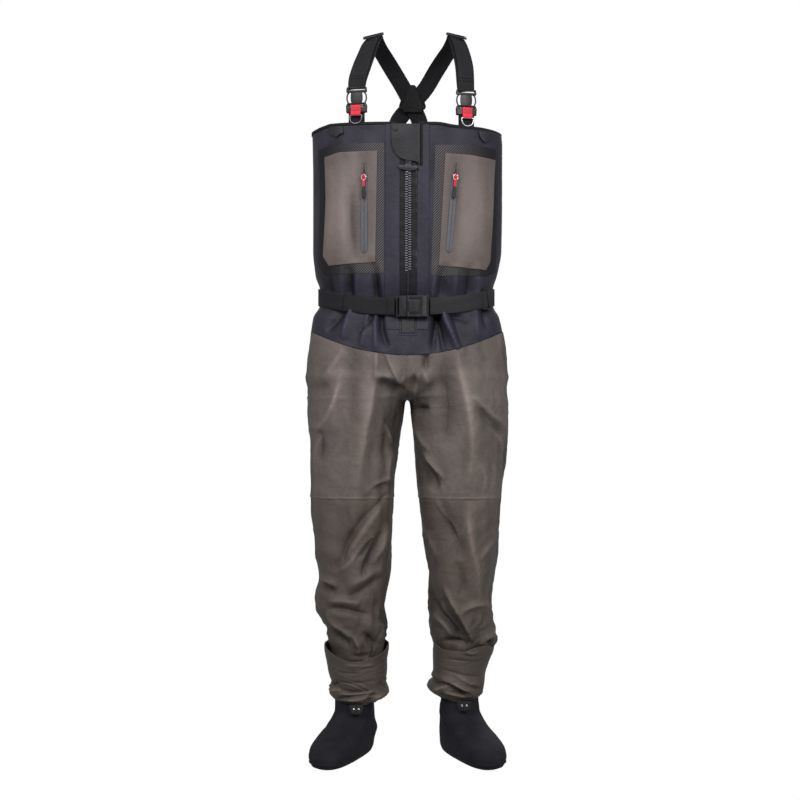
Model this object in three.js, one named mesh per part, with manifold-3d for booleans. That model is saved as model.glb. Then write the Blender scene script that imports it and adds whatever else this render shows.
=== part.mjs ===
// Stocking-foot chest waders with a front zip, two chest pockets, X-back suspenders and a belt.
// Millimetres, +Z up, front facing -Y, wearer's left at +X. Heights are measured from the soles;
// the last lines lower everything so that the origin lies between the tops of the two shoulder straps.

import * as THREE from "three";
import { mergeVertices } from "three/addons/utils/BufferGeometryUtils.js";
import Module from "manifold-3d";

const wasm = await Module();
wasm.setup();

// ---- Driving dimensions -------------------------------------------------------------------

const GAP = 0.3;               // clearance between pieces that touch
const HANG_HEIGHT = 1716;      // soles to the underside of the straps where a shoulder carries them
const FABRIC = 2.5;            // wall of the laminated fabric shells
const NEOPRENE = 4;            // wall of the stocking feet
const RIM_HEIGHT = 1491;       // top edge of the bib
const SEAM_FRONT = 952;        // seam between bib and legs, at the middle
const SEAM_RISE = 58;          // how much that seam climbs to the sides
const KNEE_HEIGHT = 618;       // cross seam at the knees
const LEG_END = 150;           // where the fabric leg meets the neoprene foot
const WEBBING = 40;            // width of suspender and belt webbing
const WEB_THICK = 2.2;
const CHEST_POWER = 2.6;       // squareness of the torso's cross-section
const LEG_POWER = 2.2;

// Torso: height, wearer's-right edge, wearer's-left edge, half depth, drop of the ring at the front.
const TORSO = [
  [836, -200, 200, 40, 0],
  [850, -232, 234, 96, 0],
  [885, -240, 242, 126, 0],
  [944, -238, 238, 132, 0],
  [1002, -231, 230, 128, 8],
  [1046, -224, 220, 122, 20],
  [1074, -209, 206, 114, 27],
  [1112, -209, 206, 114, 27],
  [1140, -218, 214, 124, 12],
  [1160, -221, 219, 126, 0],
  [1203, -225, 226, 126, 0],
  [1376, -225, 228, 126, 0],
  [1455, -226, 228, 126, 0],
  [RIM_HEIGHT, -227, 225, 124, 0],
];

// Legs: height, inner edge, outer edge, middle of the depth, half depth. X is positive for either leg.
const LEG_LEFT = [
  [LEG_END, 80, 172, 0, 56],
  [200, 82, 180, 0, 58],
  [250, 78, 196, 0, 64],
  [282, 58, 214, 0, 76],
  [368, 53, 209, 0, 86],
  [426, 53, 211, 0, 90],
  [483, 43, 218, 0, 94],
  [598, 31, 223, 0, 102],
  [714, 19, 238, 0, 114],
  [829, 3, 242, 0, 126],
  [905, -6, 240, 0, 124],
];
const LEG_RIGHT = [
  [LEG_END, 76, 168, 0, 56],
  [200, 68, 174, 0, 58],
  [250, 58, 188, 0, 64],
  [282, 52, 199, 0, 74],
  [345, 58, 222, 0, 86],
  [368, 52, 221, 0, 88],
  [426, 42, 211, 0, 90],
  [483, 38, 221, 0, 94],
  [598, 34, 230, 0, 102],
  [714, 24, 229, 0, 114],
  [829, 3, 240, 0, 126],
  [905, -6, 238, 0, 124],
];

// Gravel guards: the same columns, from the elastic hem up to the open rim.
const GUARD_LEFT = [
  [136, 75, 173, 0, 64],
  [146, 63, 180, 0, 69],
  [160, 55, 184, 0, 72],
  [178, 55, 186, 0, 73],
  [199, 61, 190, 0, 75],
  [224, 65, 202, 0, 78],
  [258, 62, 212, 0, 84],
];
const GUARD_RIGHT = [
  [127, 70, 176, 0, 64],
  [137, 56, 180, 0, 69],
  [150, 46, 186, 0, 72],
  [170, 49, 183, 0, 73],
  [195, 48, 190, 0, 75],
  [224, 46, 197, 0, 78],
  [258, 42, 204, 0, 84],
];
const GUARD_WALL = 2;

// Where each lace hook hangs at the front of its guard's hem, and how far it leans out.
const LACE_HOOKS = {
  left: { x: 135, z: 137, lean: THREE.MathUtils.degToRad(9) },
  right: { x: -120, z: 128, lean: THREE.MathUtils.degToRad(20) },
};

// Stocking foot: height, heel, toe and half width, measured from the ankle along the foot.
const FOOT = [
  [0, -60, 190, 38],
  [5, -71, 203, 45],
  [22, -76, 207, 51],
  [42, -76, 198, 51],
  [60, -72, 160, 50],
  [76, -66, 112, 48],
  [92, -61, 76, 46],
  [108, -58, 57, 44],
  [LEG_END - GAP, -54, 54, 43],
];
const ANKLE_X = 124;
const TOE_OUT = THREE.MathUtils.degToRad(21.5);
const TORSO_SEGMENTS = 44;
const LEG_SEGMENTS = 24;

// Layers on the chest, as distances in front of the shell.
const TAPE = [GAP, 1.3];
const CHAIN = [1.6, 3.6];
const SLIDER = [3.9, 6.4];
const FLAP = [6.8, 8.3];
const FRAME_LAYER = [GAP, 1.1];
const POCKET_LAYER = [1.4, 3.4];

// Main zip.
const ZIP_X = 2;               // the zip runs a little to the wearer's left of the middle
const CHAIN_HALF = 3.4;
const TAPE_HALF = 21;
const TAPE_END = 1008;
const CHAIN_END = 1048;
const SLIDER_TOP = 1419;
const HANDLE_PIVOT = 1399;

// Buckle and belt.
const BELT_HEIGHT = 1093;      // at the sides; the front hangs lower by the torso's drop
const BUCKLE = { x: 11, y: -126.6, z: 1066, height: 50, depth: 12 };

// Suspenders, for the wearer's left side.
const CLIP = { width: 49, depth: 10, socket: 22 };
const CREST_HEIGHT = 1717;
const CROSS = { x: 14, z: 1594 };

// The straps hang a little towards the wearer's left. Each side: where its clip sits and how far it turns with the
// chest, the strap's way from the clip up to the crest, and its way from the crest down the back.
const STRAPS = {
  left: {
    clip: [138, -102, 1514], turn: 0.3, glide: [117.5, -12, 1716],
    front: [[137, -93, 1628], [132, -72, 1662], [124, -40, 1697], [117, -4, CREST_HEIGHT]],
    rear: [
      [115.6, 12, CREST_HEIGHT], [107, 42, 1702], [92, 72, 1684], [70, 102, 1654], [46, 121, 1617],
      [12, 131, 1579], [-22, 133.4, 1538], [-32, 133.4, 1492], [-38, 133.4, 1440],
    ],
  },
  right: {
    clip: [-118, -108.4, 1519], turn: -0.22, glide: [-79.5, -12, 1716],
    front: [[-108, -98, 1632], [-99, -77, 1662], [-89, -42, 1696], [-79, -4, CREST_HEIGHT]],
    rear: [
      [-77.6, 12, CREST_HEIGHT], [-68, 42, 1702], [-52, 76, 1682], [-32, 102, 1654], [-10, 117, 1620],
      [12, 125.2, 1579], [31, 127.4, 1538], [38, 127.4, 1492], [42, 127.4, 1440],
    ],
  },
};

// ---- Colours ------------------------------------------------------------------------------

const COLOURS = {
  navy: [0x3d3c48, 0.75, 0],
  taupe: [0x6f655e, 0.7, 0],
  pocket: [0x897e78, 0.7, 0],
  webbing: [0x242427, 0.8, 0],
  plastic: [0x1d1d20, 0.45, 0],
  rubber: [0x303033, 0.6, 0],
  neoprene: [0x24232a, 0.9, 0],
  tape: [0x1b1b1f, 0.5, 0],
  strip: [0x50505a, 0.6, 0],
  hatch: [0x2e2e36, 0.7, 0],
  red: [0xeb2d41, 0.6, 0],
  steel: [0xb8b8bc, 0.3, 1],
  gunmetal: [0x6c6c70, 0.35, 1],
};

const waders = new THREE.Group();

// ---- Helpers ------------------------------------------------------------------------------

function addPiece(name, geometry, colour, parent = waders) {
  const [color, roughness, metalness] = COLOURS[colour];
  const material = new THREE.MeshStandardMaterial({ color, roughness, metalness });
  const mesh = new THREE.Mesh(geometry, material);
  mesh.name = name;
  parent.add(mesh);
  return mesh;
}

function solid(geometry) {
  const bare = geometry.clone();
  bare.deleteAttribute("normal");
  bare.deleteAttribute("uv");
  const merged = mergeVertices(bare, 1e-4);
  return new wasm.Manifold(new wasm.Mesh({
    numProp: 3,
    vertProperties: new Float32Array(merged.attributes.position.array),
    triVerts: new Uint32Array(merged.index.array),
  }));
}

function toGeometry(manifold) {
  const mesh = manifold.getMesh();
  const geometry = new THREE.BufferGeometry();
  geometry.setAttribute("position", new THREE.BufferAttribute(new Float32Array(mesh.vertProperties), 3));
  geometry.setIndex(new THREE.BufferAttribute(new Uint32Array(mesh.triVerts), 1));
  return geometry;
}

// Reads a table of rows at any height, with a smooth curve that never overshoots its rows.
function rowAt(table, height) {
  const last = table.length - 1;
  if (height <= table[0][0]) return table[0];
  if (height >= table[last][0]) return table[last];
  const i = table.findIndex((row, k) => k < last && height <= table[k + 1][0]);
  const [low, high] = [table[i], table[i + 1]];
  const step = high[0] - low[0];
  const t = (height - low[0]) / step;
  return low.map((start, column) => {
    if (column === 0) return height;
    const slope = (k) => (table[k + 1][column] - table[k][column]) / (table[k + 1][0] - table[k][0]);
    const tangent = (before, after) => {
      if (before === null || after === null || before * after <= 0) return 0;
      return (2 * before * after) / (before + after);
    };
    const here = slope(i);
    const m0 = tangent(i > 0 ? slope(i - 1) : null, here) * step;
    const m1 = tangent(here, i + 1 < last ? slope(i + 1) : null) * step;
    const end = high[column];
    return start * (2 * t ** 3 - 3 * t ** 2 + 1) + m0 * (t ** 3 - 2 * t ** 2 + t)
      + end * (3 * t ** 2 - 2 * t ** 3) + m1 * (t ** 3 - t ** 2);
  });
}

const roundPower = (value, power) => Math.sign(value) * Math.abs(value) ** (2 / power);

// One closed solid through a list of rings that all have the same number of points.
// Rings run anticlockwise seen from the end that the list goes towards.
function loft(rings) {
  const count = rings[0].length;
  const points = rings.flat();
  const index = [];
  for (let r = 0; r + 1 < rings.length; r += 1) {
    for (let i = 0; i < count; i += 1) {
      const next = (i + 1) % count;
      const [a, b] = [r * count + i, r * count + next];
      const [c, d] = [a + count, b + count];
      index.push(a, b, d, a, d, c);
    }
  }
  for (const [ring, flip] of [[0, true], [rings.length - 1, false]]) {
    const middle = points.length;
    const sum = rings[ring].reduce((total, p) => total.add(p), new THREE.Vector3());
    points.push(sum.divideScalar(count));
    for (let i = 0; i < count; i += 1) {
      const [a, b] = [ring * count + i, ring * count + ((i + 1) % count)];
      index.push(...(flip ? [b, a, middle] : [a, b, middle]));
    }
  }
  const geometry = new THREE.BufferGeometry().setFromPoints(points);
  geometry.setIndex(index);
  return geometry;
}

function torsoPoint(height, angle, offset) {
  const [, right, left, depth, drop] = rowAt(TORSO, height);
  const middle = (left + right) / 2;
  const front = Math.max(0, -Math.sin(angle));
  return new THREE.Vector3(
    middle + ((left - right) / 2 + offset) * roundPower(Math.cos(angle), CHEST_POWER),
    (depth + offset) * roundPower(Math.sin(angle), CHEST_POWER),
    height - drop * front ** 2,
  );
}

function torsoSolid(heights, offset, segments) {
  return solid(loft(heights.map((height) => Array.from(
    { length: segments },
    (_, i) => torsoPoint(height, (i / segments) * 2 * Math.PI, offset),
  ))));
}

// How far forward the torso's surface lies, above the waist, at a place across the chest.
function chestFront(x, height, offset) {
  const [, right, left, depth] = rowAt(TORSO, height);
  const across = Math.abs(x - (left + right) / 2) / ((left - right) / 2 + offset);
  return -(depth + offset) * (1 - across ** CHEST_POWER) ** (1 / CHEST_POWER);
}

function legRing(table, height, side, offset, segments) {
  const [, inner, outer, middleY, depth] = rowAt(table, height);
  return Array.from({ length: segments }, (_, i) => {
    const angle = (i / segments) * 2 * Math.PI;
    return new THREE.Vector3(
      side * (inner + outer) / 2 + ((outer - inner) / 2 + offset) * roundPower(Math.cos(angle), LEG_POWER),
      middleY + (depth + offset) * roundPower(Math.sin(angle), LEG_POWER),
      height,
    );
  });
}

function legSolid(table, heights, side, offset, segments = LEG_SEGMENTS) {
  return solid(loft(heights.map((height) => legRing(table, height, side, offset, segments))));
}

const prism = (points, depth, z = 0) => {
  const shape = new THREE.Shape(points.map(([x, y]) => new THREE.Vector2(x, y)));
  const geometry = new THREE.ExtrudeGeometry(shape, { depth, bevelEnabled: false });
  return geometry.translate(0, 0, z);
};

// A prism whose outline lies in the front view, from one Y to another.
function frontPrism(points, yFrom, yTo) {
  const geometry = prism(points, yTo - yFrom);
  geometry.rotateX(Math.PI / 2);
  return geometry.translate(0, yTo, 0);
}

function box(width, depth, height, x = 0, y = 0, z = 0) {
  return new THREE.BoxGeometry(width, depth, height).translate(x, y, z);
}

function union(...geometries) {
  return toGeometry(geometries.map(solid).reduce((whole, next) => whole.add(next)));
}

function cut(geometry, ...tools) {
  return toGeometry(tools.map(solid).reduce((whole, next) => whole.subtract(next), solid(geometry)));
}

// Flat webbing: a rectangular section carried along a curve, with its face square to `normalAt`.
function ribbon(curve, normalAt, steps, width, thickness) {
  const rings = [];
  for (let i = 0; i <= steps; i += 1) {
    const t = i / steps;
    const centre = curve.getPoint(t);
    const along = curve.getTangent(t);
    const side = new THREE.Vector3().crossVectors(along, normalAt(t)).normalize();
    const out = new THREE.Vector3().crossVectors(side, along).normalize();
    rings.push([[-1, -1], [-1, 1], [1, 1], [1, -1]].map(([u, v]) => centre.clone()
      .addScaledVector(side, (u * width) / 2)
      .addScaledVector(out, (v * thickness) / 2)));
  }
  return loft(rings);
}

const point = (x, y, z) => new THREE.Vector3(x, y, z);
const curveThrough = (points) => new THREE.CatmullRomCurve3(points.map((p) => point(...p)));

// ---- Bib ----------------------------------------------------------------------------------

const seamHeight = (x) => SEAM_FRONT + SEAM_RISE * (x / 228) ** 2;

// Everything under the seam between bib and legs, lowered by `gap`.
function belowSeam(gap) {
  const outline = [[-300, 700], [300, 700]];
  for (let x = 300; x >= -300; x -= 50) outline.push([x, seamHeight(x) - gap]);
  return frontPrism(outline, -200, 200);
}

const BIB_HEIGHTS = [900, 950, 1002, 1046, 1074, 1112, 1140, 1160, 1203, 1376, 1455, RIM_HEIGHT];
const torsoOuter = torsoSolid(BIB_HEIGHTS, 0, TORSO_SEGMENTS);
const torsoInner = torsoSolid([890, ...BIB_HEIGHTS.slice(0, -1), RIM_HEIGHT + 20], -FABRIC, TORSO_SEGMENTS);

function bibShell() {
  const slot = solid(box(2 * CHAIN_HALF + 6, 60, 480, ZIP_X, -120, 1260));
  return toGeometry(torsoOuter.subtract(torsoInner).subtract(solid(belowSeam(0))).subtract(slot));
}

// A thin sheet lying on the chest between two distances in front of it, trimmed to an outline.
function chestSheet(outline, [from, to], heights = BIB_HEIGHTS) {
  const tall = [...heights.slice(0, -1), RIM_HEIGHT];
  const outer = torsoSolid(tall, to, TORSO_SEGMENTS);
  const inner = torsoSolid([tall[0] - 5, ...tall, RIM_HEIGHT + 5], from, TORSO_SEGMENTS);
  return toGeometry(outer.subtract(inner).intersect(solid(frontPrism(outline, -200, 0))));
}

function rimBinding() {
  const ring = (offset, low, high) => torsoSolid([low, high], offset, TORSO_SEGMENTS);
  const band = ring(1.2, RIM_HEIGHT + GAP, RIM_HEIGHT + 4).subtract(ring(-3.6, RIM_HEIGHT - 1, RIM_HEIGHT + 6));
  const gate = solid(box(2 * TAPE_HALF + 4, 60, 20, ZIP_X, -120, RIM_HEIGHT));
  return toGeometry(band.subtract(gate));
}

function addBib() {
  addPiece("bib_shell", bibShell(), "navy");
  addPiece("rim_binding", rimBinding(), "webbing");
  const tabs = [
    ["right_rim_tab", -183, -151, 1462],
    ["left_rim_tab", 168, 202, 1450],
  ];
  for (const [name, from, to, low] of tabs) {
    const outline = [[from, 1489], [from, low + 9], [from + 8, low], [to - 8, low], [to, low + 9], [to, 1489]];
    addPiece(name, chestSheet(outline, [GAP + 0.2, 2.2]), "rubber");
  }
}

// ---- Main zip and storm flap --------------------------------------------------------------

function zipChain() {
  const bar = chestSheet([
    [ZIP_X - CHAIN_HALF + 1, CHAIN_END], [ZIP_X + CHAIN_HALF - 1, CHAIN_END],
    [ZIP_X + CHAIN_HALF - 1, SLIDER_TOP], [ZIP_X - CHAIN_HALF + 1, SLIDER_TOP],
  ], [CHAIN[0], CHAIN[1] - 0.4]);
  const pitch = 14;
  const teeth = [];
  for (let z = 1155; z < SLIDER_TOP - 8; z += pitch) {
    const y = chestFront(ZIP_X, z, (CHAIN[0] + CHAIN[1]) / 2);
    teeth.push(box(2 * CHAIN_HALF - 0.2, CHAIN[1] - CHAIN[0] - 0.2, pitch / 2, ZIP_X, y, z));
  }
  return union(bar, ...teeth);
}

function addMainZip() {
  const edge = CHAIN_HALF + GAP;
  const sides = [["right_zip_tape", -TAPE_HALF, -edge], ["left_zip_tape", edge, TAPE_HALF]];
  for (const [name, from, to] of sides) {
    const [x0, x1] = [ZIP_X + from, ZIP_X + to];
    const outline = [[x0, TAPE_END], [x1, TAPE_END], [x1, RIM_HEIGHT - 1], [x0, RIM_HEIGHT - 1]];
    addPiece(name, chestSheet(outline, TAPE), "tape");
  }
  addPiece("main_zip_chain", zipChain(), "plastic");

  const dock = [[ZIP_X - 15, 1004], [ZIP_X + 17, 1004], [ZIP_X + 17, 1046], [ZIP_X - 15, 1046]];
  addPiece("zip_docking_end", chestSheet(dock, [1.7, 3.9]), "rubber");

  const surface = chestFront(ZIP_X, 1300, 0);
  const thick = SLIDER[1] - SLIDER[0];
  const plateY = surface - (SLIDER[0] + SLIDER[1]) / 2;
  const plate = box(15, thick, 24, ZIP_X, plateY, SLIDER_TOP - 14);
  const rails = [-1, 1].map((side) => box(2.4, 3.4, 20, ZIP_X + side * 6.3, plateY + 1.6, SLIDER_TOP - 14));
  addPiece("main_zip_slider", union(plate, ...rails), "plastic");

  const handleY = surface - SLIDER[1] - GAP - 1.4;
  const stem = box(10, 2.6, 10, ZIP_X, handleY, HANDLE_PIVOT - 4);
  const grip = frontPrism([
    [ZIP_X - 22, 1386], [ZIP_X - 17, 1381], [ZIP_X + 17, 1381], [ZIP_X + 22, 1386],
    [ZIP_X + 22, 1391], [ZIP_X + 16, 1396], [ZIP_X - 16, 1396], [ZIP_X - 22, 1391],
  ], handleY - 2.1, handleY + 1.3);
  addPiece("main_zip_handle", union(stem, grip), "rubber");
}

function addStormFlap() {
  const outline = [
    [-37, 1490], [-37, 1456], [-34, 1437], [-26, 1420], [-15, 1409], [2, 1403.5], [20, 1401], [30, 1394], [30, 1490],
  ];
  addPiece("storm_flap", chestSheet(outline, FLAP), "rubber");
  const [snapX, snapZ] = [-28, 1478];
  const capY = chestFront(snapX, snapZ, FLAP[1]) - GAP - 1.4;
  const cap = new THREE.CylinderGeometry(5.5, 4.5, 2, 20);
  addPiece("flap_snap_cap", cap.translate(snapX, capY, snapZ), "plastic");
  const socketY = chestFront(snapX, snapZ, FLAP[0] / 2);
  const socket = new THREE.CylinderGeometry(4.5, 4.5, FLAP[0] - 1.6, 20);
  addPiece("flap_snap_socket", socket.translate(snapX, socketY, snapZ), "plastic");
}

// ---- Chest pockets ------------------------------------------------------------------------

const POCKETS = {
  right: {
    frame: [[-210, 1438], [-178, 1445], [-53, 1446], [-54, 1143], [-195, 1142], [-211, 1165]],
    panel: [[-195, 1418], [-160, 1427], [-69, 1428], [-74, 1168], [-184, 1162], [-199, 1187], [-193, 1318]],
    zip: { x: -100, drift: 0 },
  },
  left: {
    frame: [[65, 1441], [150, 1445], [211, 1438], [211, 1150], [185, 1138], [55, 1137]],
    panel: [[88, 1423], [150, 1420], [209, 1413], [197, 1173], [185, 1152], [73, 1160]],
    zip: { x: 114, drift: -0.083 },
  },
};
const POCKET_ZIP_TOP = 1402;
const POCKET_ZIP_LENGTH = 214;

// The pocket zip is laid out with X across it, -Y out of the pocket and Z up along it, then turned to lie on it.
function addPocketZip(side, { x, drift }) {
  const seat = new THREE.Group();
  const low = x + drift * POCKET_ZIP_LENGTH;
  const clear = POCKET_LAYER[1] + GAP + 0.5;
  const top = point(x, chestFront(x, 1300, clear), POCKET_ZIP_TOP);
  const bottom = point(low, chestFront(low, 1300, clear), POCKET_ZIP_TOP - POCKET_ZIP_LENGTH);
  const up = top.clone().sub(bottom).normalize();
  const slopeX = (chestFront(x + 1, 1300, clear) - chestFront(x - 1, 1300, clear)) / 2;
  const across = point(1, slopeX, 0).normalize();
  const inward = new THREE.Vector3().crossVectors(up, across).normalize();
  across.crossVectors(inward, up);
  seat.matrixAutoUpdate = false;
  seat.matrix.makeBasis(across, inward, up).setPosition(top);
  waders.add(seat);

  const end = -POCKET_ZIP_LENGTH;
  const strip = frontPrism([
    [-8, end + 8], [-5.5, end + 2], [0, end], [5.5, end + 2], [8, end + 8],
    [8, -28], [4, -20], [3, 0], [-3, 0], [-4, -20], [-8, -28],
  ], -1.4, 0);
  addPiece(`${side}_pocket_zip`, strip, "strip", seat);

  const body = box(8.5, 4, 11, 0, -1.4 - GAP - 2, -32);
  addPiece(`${side}_pocket_slider`, body, "steel", seat);

  const pullY = -1.4 - GAP - 4 - GAP - 1.6;
  const loop = box(4, 1.6, 17, 0, pullY, -39);
  const grip = box(7.5, 3, 29, 0, pullY, -62);
  addPiece(`${side}_pocket_pull`, union(loop, grip), "red", seat);
}

function addPockets() {
  for (const [side, { frame, panel, zip }] of Object.entries(POCKETS)) {
    addPiece(`${side}_pocket_frame`, chestSheet(frame, FRAME_LAYER), "hatch");
    addPiece(`${side}_pocket_panel`, chestSheet(panel, POCKET_LAYER), "pocket");
    addPocketZip(side, zip);
  }
}

// ---- Legs ---------------------------------------------------------------------------------

const LEG_HEIGHTS = [LEG_END, 200, 250, 282, 325, 368, 426, 483, 540, KNEE_HEIGHT, 714, 829, 905];
const HIP_HEIGHTS = [836, 843, 850, 885, 944, 1002, 1030];

function trousers() {
  const inside = (heights) => [heights[0] - 5, ...heights.slice(1)];
  const outer = torsoSolid(HIP_HEIGHTS, 0, TORSO_SEGMENTS)
    .add(legSolid(LEG_LEFT, LEG_HEIGHTS, 1, 0))
    .add(legSolid(LEG_RIGHT, LEG_HEIGHTS, -1, 0));
  const inner = torsoSolid([840, 846, 853, 885, 944, 1002, 1046], -FABRIC, TORSO_SEGMENTS)
    .add(legSolid(LEG_LEFT, inside(LEG_HEIGHTS), 1, -FABRIC))
    .add(legSolid(LEG_RIGHT, inside(LEG_HEIGHTS), -1, -FABRIC));
  return outer.subtract(inner).intersect(solid(belowSeam(GAP)).add(solid(box(600, 400, 720, 0, 0, 350))));
}

function halfSpace(side, zFrom, zTo) {
  return solid(box(400, 500, zTo - zFrom, side * (200 + GAP / 2), 0, (zFrom + zTo) / 2));
}

function footRing(side, [height, heel, toe, half], shrink) {
  const middle = (heel + toe) / 2;
  const reach = (toe - heel) / 2 - shrink;
  const slender = Math.min(1, reach / 200);
  return Array.from({ length: LEG_SEGMENTS }, (_, i) => {
    const angle = (i / LEG_SEGMENTS) * 2 * Math.PI;
    const along = middle + reach * roundPower(-Math.sin(angle), 2.3);
    const lean = (1 - 0.2 * slender * Math.sin(angle)) * (1 + 0.1 * slender * side * Math.cos(angle));
    const across = (half - shrink) * roundPower(Math.cos(angle), 2.3) * lean;
    return point(
      side * ANKLE_X + Math.cos(side * TOE_OUT) * across + Math.sin(side * TOE_OUT) * along,
      Math.sin(side * TOE_OUT) * across - Math.cos(side * TOE_OUT) * along,
      height,
    );
  });
}

function sock(side) {
  const outer = solid(loft(FOOT.map((row) => footRing(side, row, 0))));
  const hollow = FOOT.slice(1).map((row, i) => [i === 0 ? NEOPRENE : row[0], ...row.slice(1)]);
  hollow.push([LEG_END + 5, ...FOOT.at(-1).slice(1)]);
  return toGeometry(outer.subtract(solid(loft(hollow.map((row) => footRing(side, row, NEOPRENE))))));
}

function gravelGuard(table, side) {
  const heights = table.map(([height]) => height);
  const inner = [heights[0] - 5, ...heights.slice(1, -1), heights.at(-1) + 5];
  return toGeometry(legSolid(table, heights, side, 0).subtract(legSolid(table, inner, side, -GUARD_WALL)));
}

// A short tab at the front of the hem that carries a lace hook, with two rivets through it.
function laceHook({ x, z, lean }) {
  const seat = new THREE.Group();
  seat.position.set(x, -66, z);
  seat.rotation.x = -lean;
  waders.add(seat);
  const tab = box(24, 2, 24, 0, -1.2, -12.6);
  const rivets = [-6, 6].map((x) => new THREE.CylinderGeometry(2.2, 2.2, 2, 12).translate(x, -2.6, -9));
  const hook = box(12, 1.4, 12, 0, 0.3, -18);
  return [seat, union(tab, ...rivets, hook)];
}

function addLegs() {
  const whole = trousers();
  const sides = [["left", 1, GUARD_LEFT], ["right", -1, GUARD_RIGHT]];
  for (const [name, side, guard] of sides) {
    const half = halfSpace(side, 0, 1400);
    const above = solid(box(900, 500, 600, 0, 0, KNEE_HEIGHT + 300 + GAP / 2));
    const below = solid(box(900, 500, 600, 0, 0, KNEE_HEIGHT - 300 - GAP / 2));
    addPiece(`${name}_thigh`, toGeometry(whole.intersect(half).intersect(above)), "taupe");
    addPiece(`${name}_lower_leg`, toGeometry(whole.intersect(half).intersect(below)), "taupe");
    addPiece(`${name}_gravel_guard`, gravelGuard(guard, side), "taupe");
    addPiece(`${name}_sock`, sock(side), "neoprene");
    const [seat, hook] = laceHook(LACE_HOOKS[name]);
    addPiece(`${name}_lace_hook`, hook, "rubber", seat);
  }
}

// ---- Belt ---------------------------------------------------------------------------------

// The belt's line round the waist; angle 0 is at the wearer's left and -90 degrees at the front.
function beltPoint(angle, offset) {
  const onShell = torsoPoint(BELT_HEIGHT, angle, offset);
  const nearZip = Math.max(0, 1 - Math.abs(onShell.x - ZIP_X) / 90);
  if (onShell.y < 0) onShell.y -= 12 * nearZip ** 2 * (3 - 2 * nearZip);
  return onShell;
}

function beltCurve(from, to, offset = 1.6 + WEB_THICK / 2) {
  const points = [];
  const steps = Math.max(4, Math.round(Math.abs(to - from) / 0.14));
  for (let i = 0; i <= steps; i += 1) {
    points.push(beltPoint(from + ((to - from) * i) / steps, offset));
  }
  return new THREE.CatmullRomCurve3(points);
}

function beltRibbon(from, to, steps, offset) {
  const curve = beltCurve(from, to, offset);
  const normalAt = (t) => {
    const along = curve.getTangent(t);
    return point(0, 0, 1).cross(along).multiplyScalar(-1).normalize();
  };
  return ribbon(curve, normalAt, steps, WEBBING, WEB_THICK);
}

// The angle at which the belt's front run passes a place across the body.
function frontAngle(x) {
  const [, right, left] = rowAt(TORSO, BELT_HEIGHT);
  const across = (x - (left + right) / 2) / ((left - right) / 2 + 2.7);
  return -Math.acos(Math.sign(across) * Math.abs(across) ** (CHEST_POWER / 2));
}

function addBelt() {
  const split = frontAngle(-150);
  addPiece("belt_plug_run", beltRibbon(frontAngle(BUCKLE.x - 39), split, 12), "webbing");
  const round = frontAngle(BUCKLE.x + 41) - 2 * Math.PI;
  addPiece("belt_webbing", beltRibbon(split - 0.01, round, 48), "webbing");

  const { x, y, z, height, depth } = BUCKLE;
  const socket = cut(
    box(52, depth, height, x + 13, y, z),
    box(36, depth - 5, height - 12, x + 3, y, z),
    box(9, depth - 5, height + 2, x - 13, y, z),
    box(12, depth - 5, height + 2, x + 5, y, z),
    box(4, depth + 2, 41, x + 32, y, z),
  );
  addPiece("belt_socket", socket, "plastic");

  const bar = cut(box(23, depth - 1, height - 2, x - 25.5, y, z), box(4, depth + 2, 41, x - 32, y, z));
  const guide = box(28, 4, 12, x - 2, y, z);
  const prongs = [-1, 1].map((side) => box(30, 5, 7, x - 1, y, z + side * 13.5));
  addPiece("belt_plug", union(bar, guide, ...prongs), "plastic");

  const angle = frontAngle(184);
  const at = beltPoint(angle, 1.6 + WEB_THICK + GAP + 1.6);
  const nearby = beltPoint(angle + 0.02, 1.6 + WEB_THICK + GAP + 1.6);
  const turn = Math.atan2(nearby.y - at.y, nearby.x - at.x);
  const adjuster = cut(box(26, 3, 50, 0, 0, 0), box(6, 8, 42, -6.5, 0, 0), box(6, 8, 42, 6.5, 0, 0));
  addPiece("belt_adjuster", adjuster, "plastic").position.copy(at);
  waders.children.at(-1).rotation.z = turn;

  const back = torsoPoint(BELT_HEIGHT + 34, Math.PI / 2, 0).y + 1;
  const loop = cut(box(26, 7, 60, 0, back + 3.5, BELT_HEIGHT), box(40, 10, 46, 0, back, BELT_HEIGHT));
  addPiece("belt_loop", loop, "webbing");
}

// ---- Suspenders ---------------------------------------------------------------------------

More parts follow.
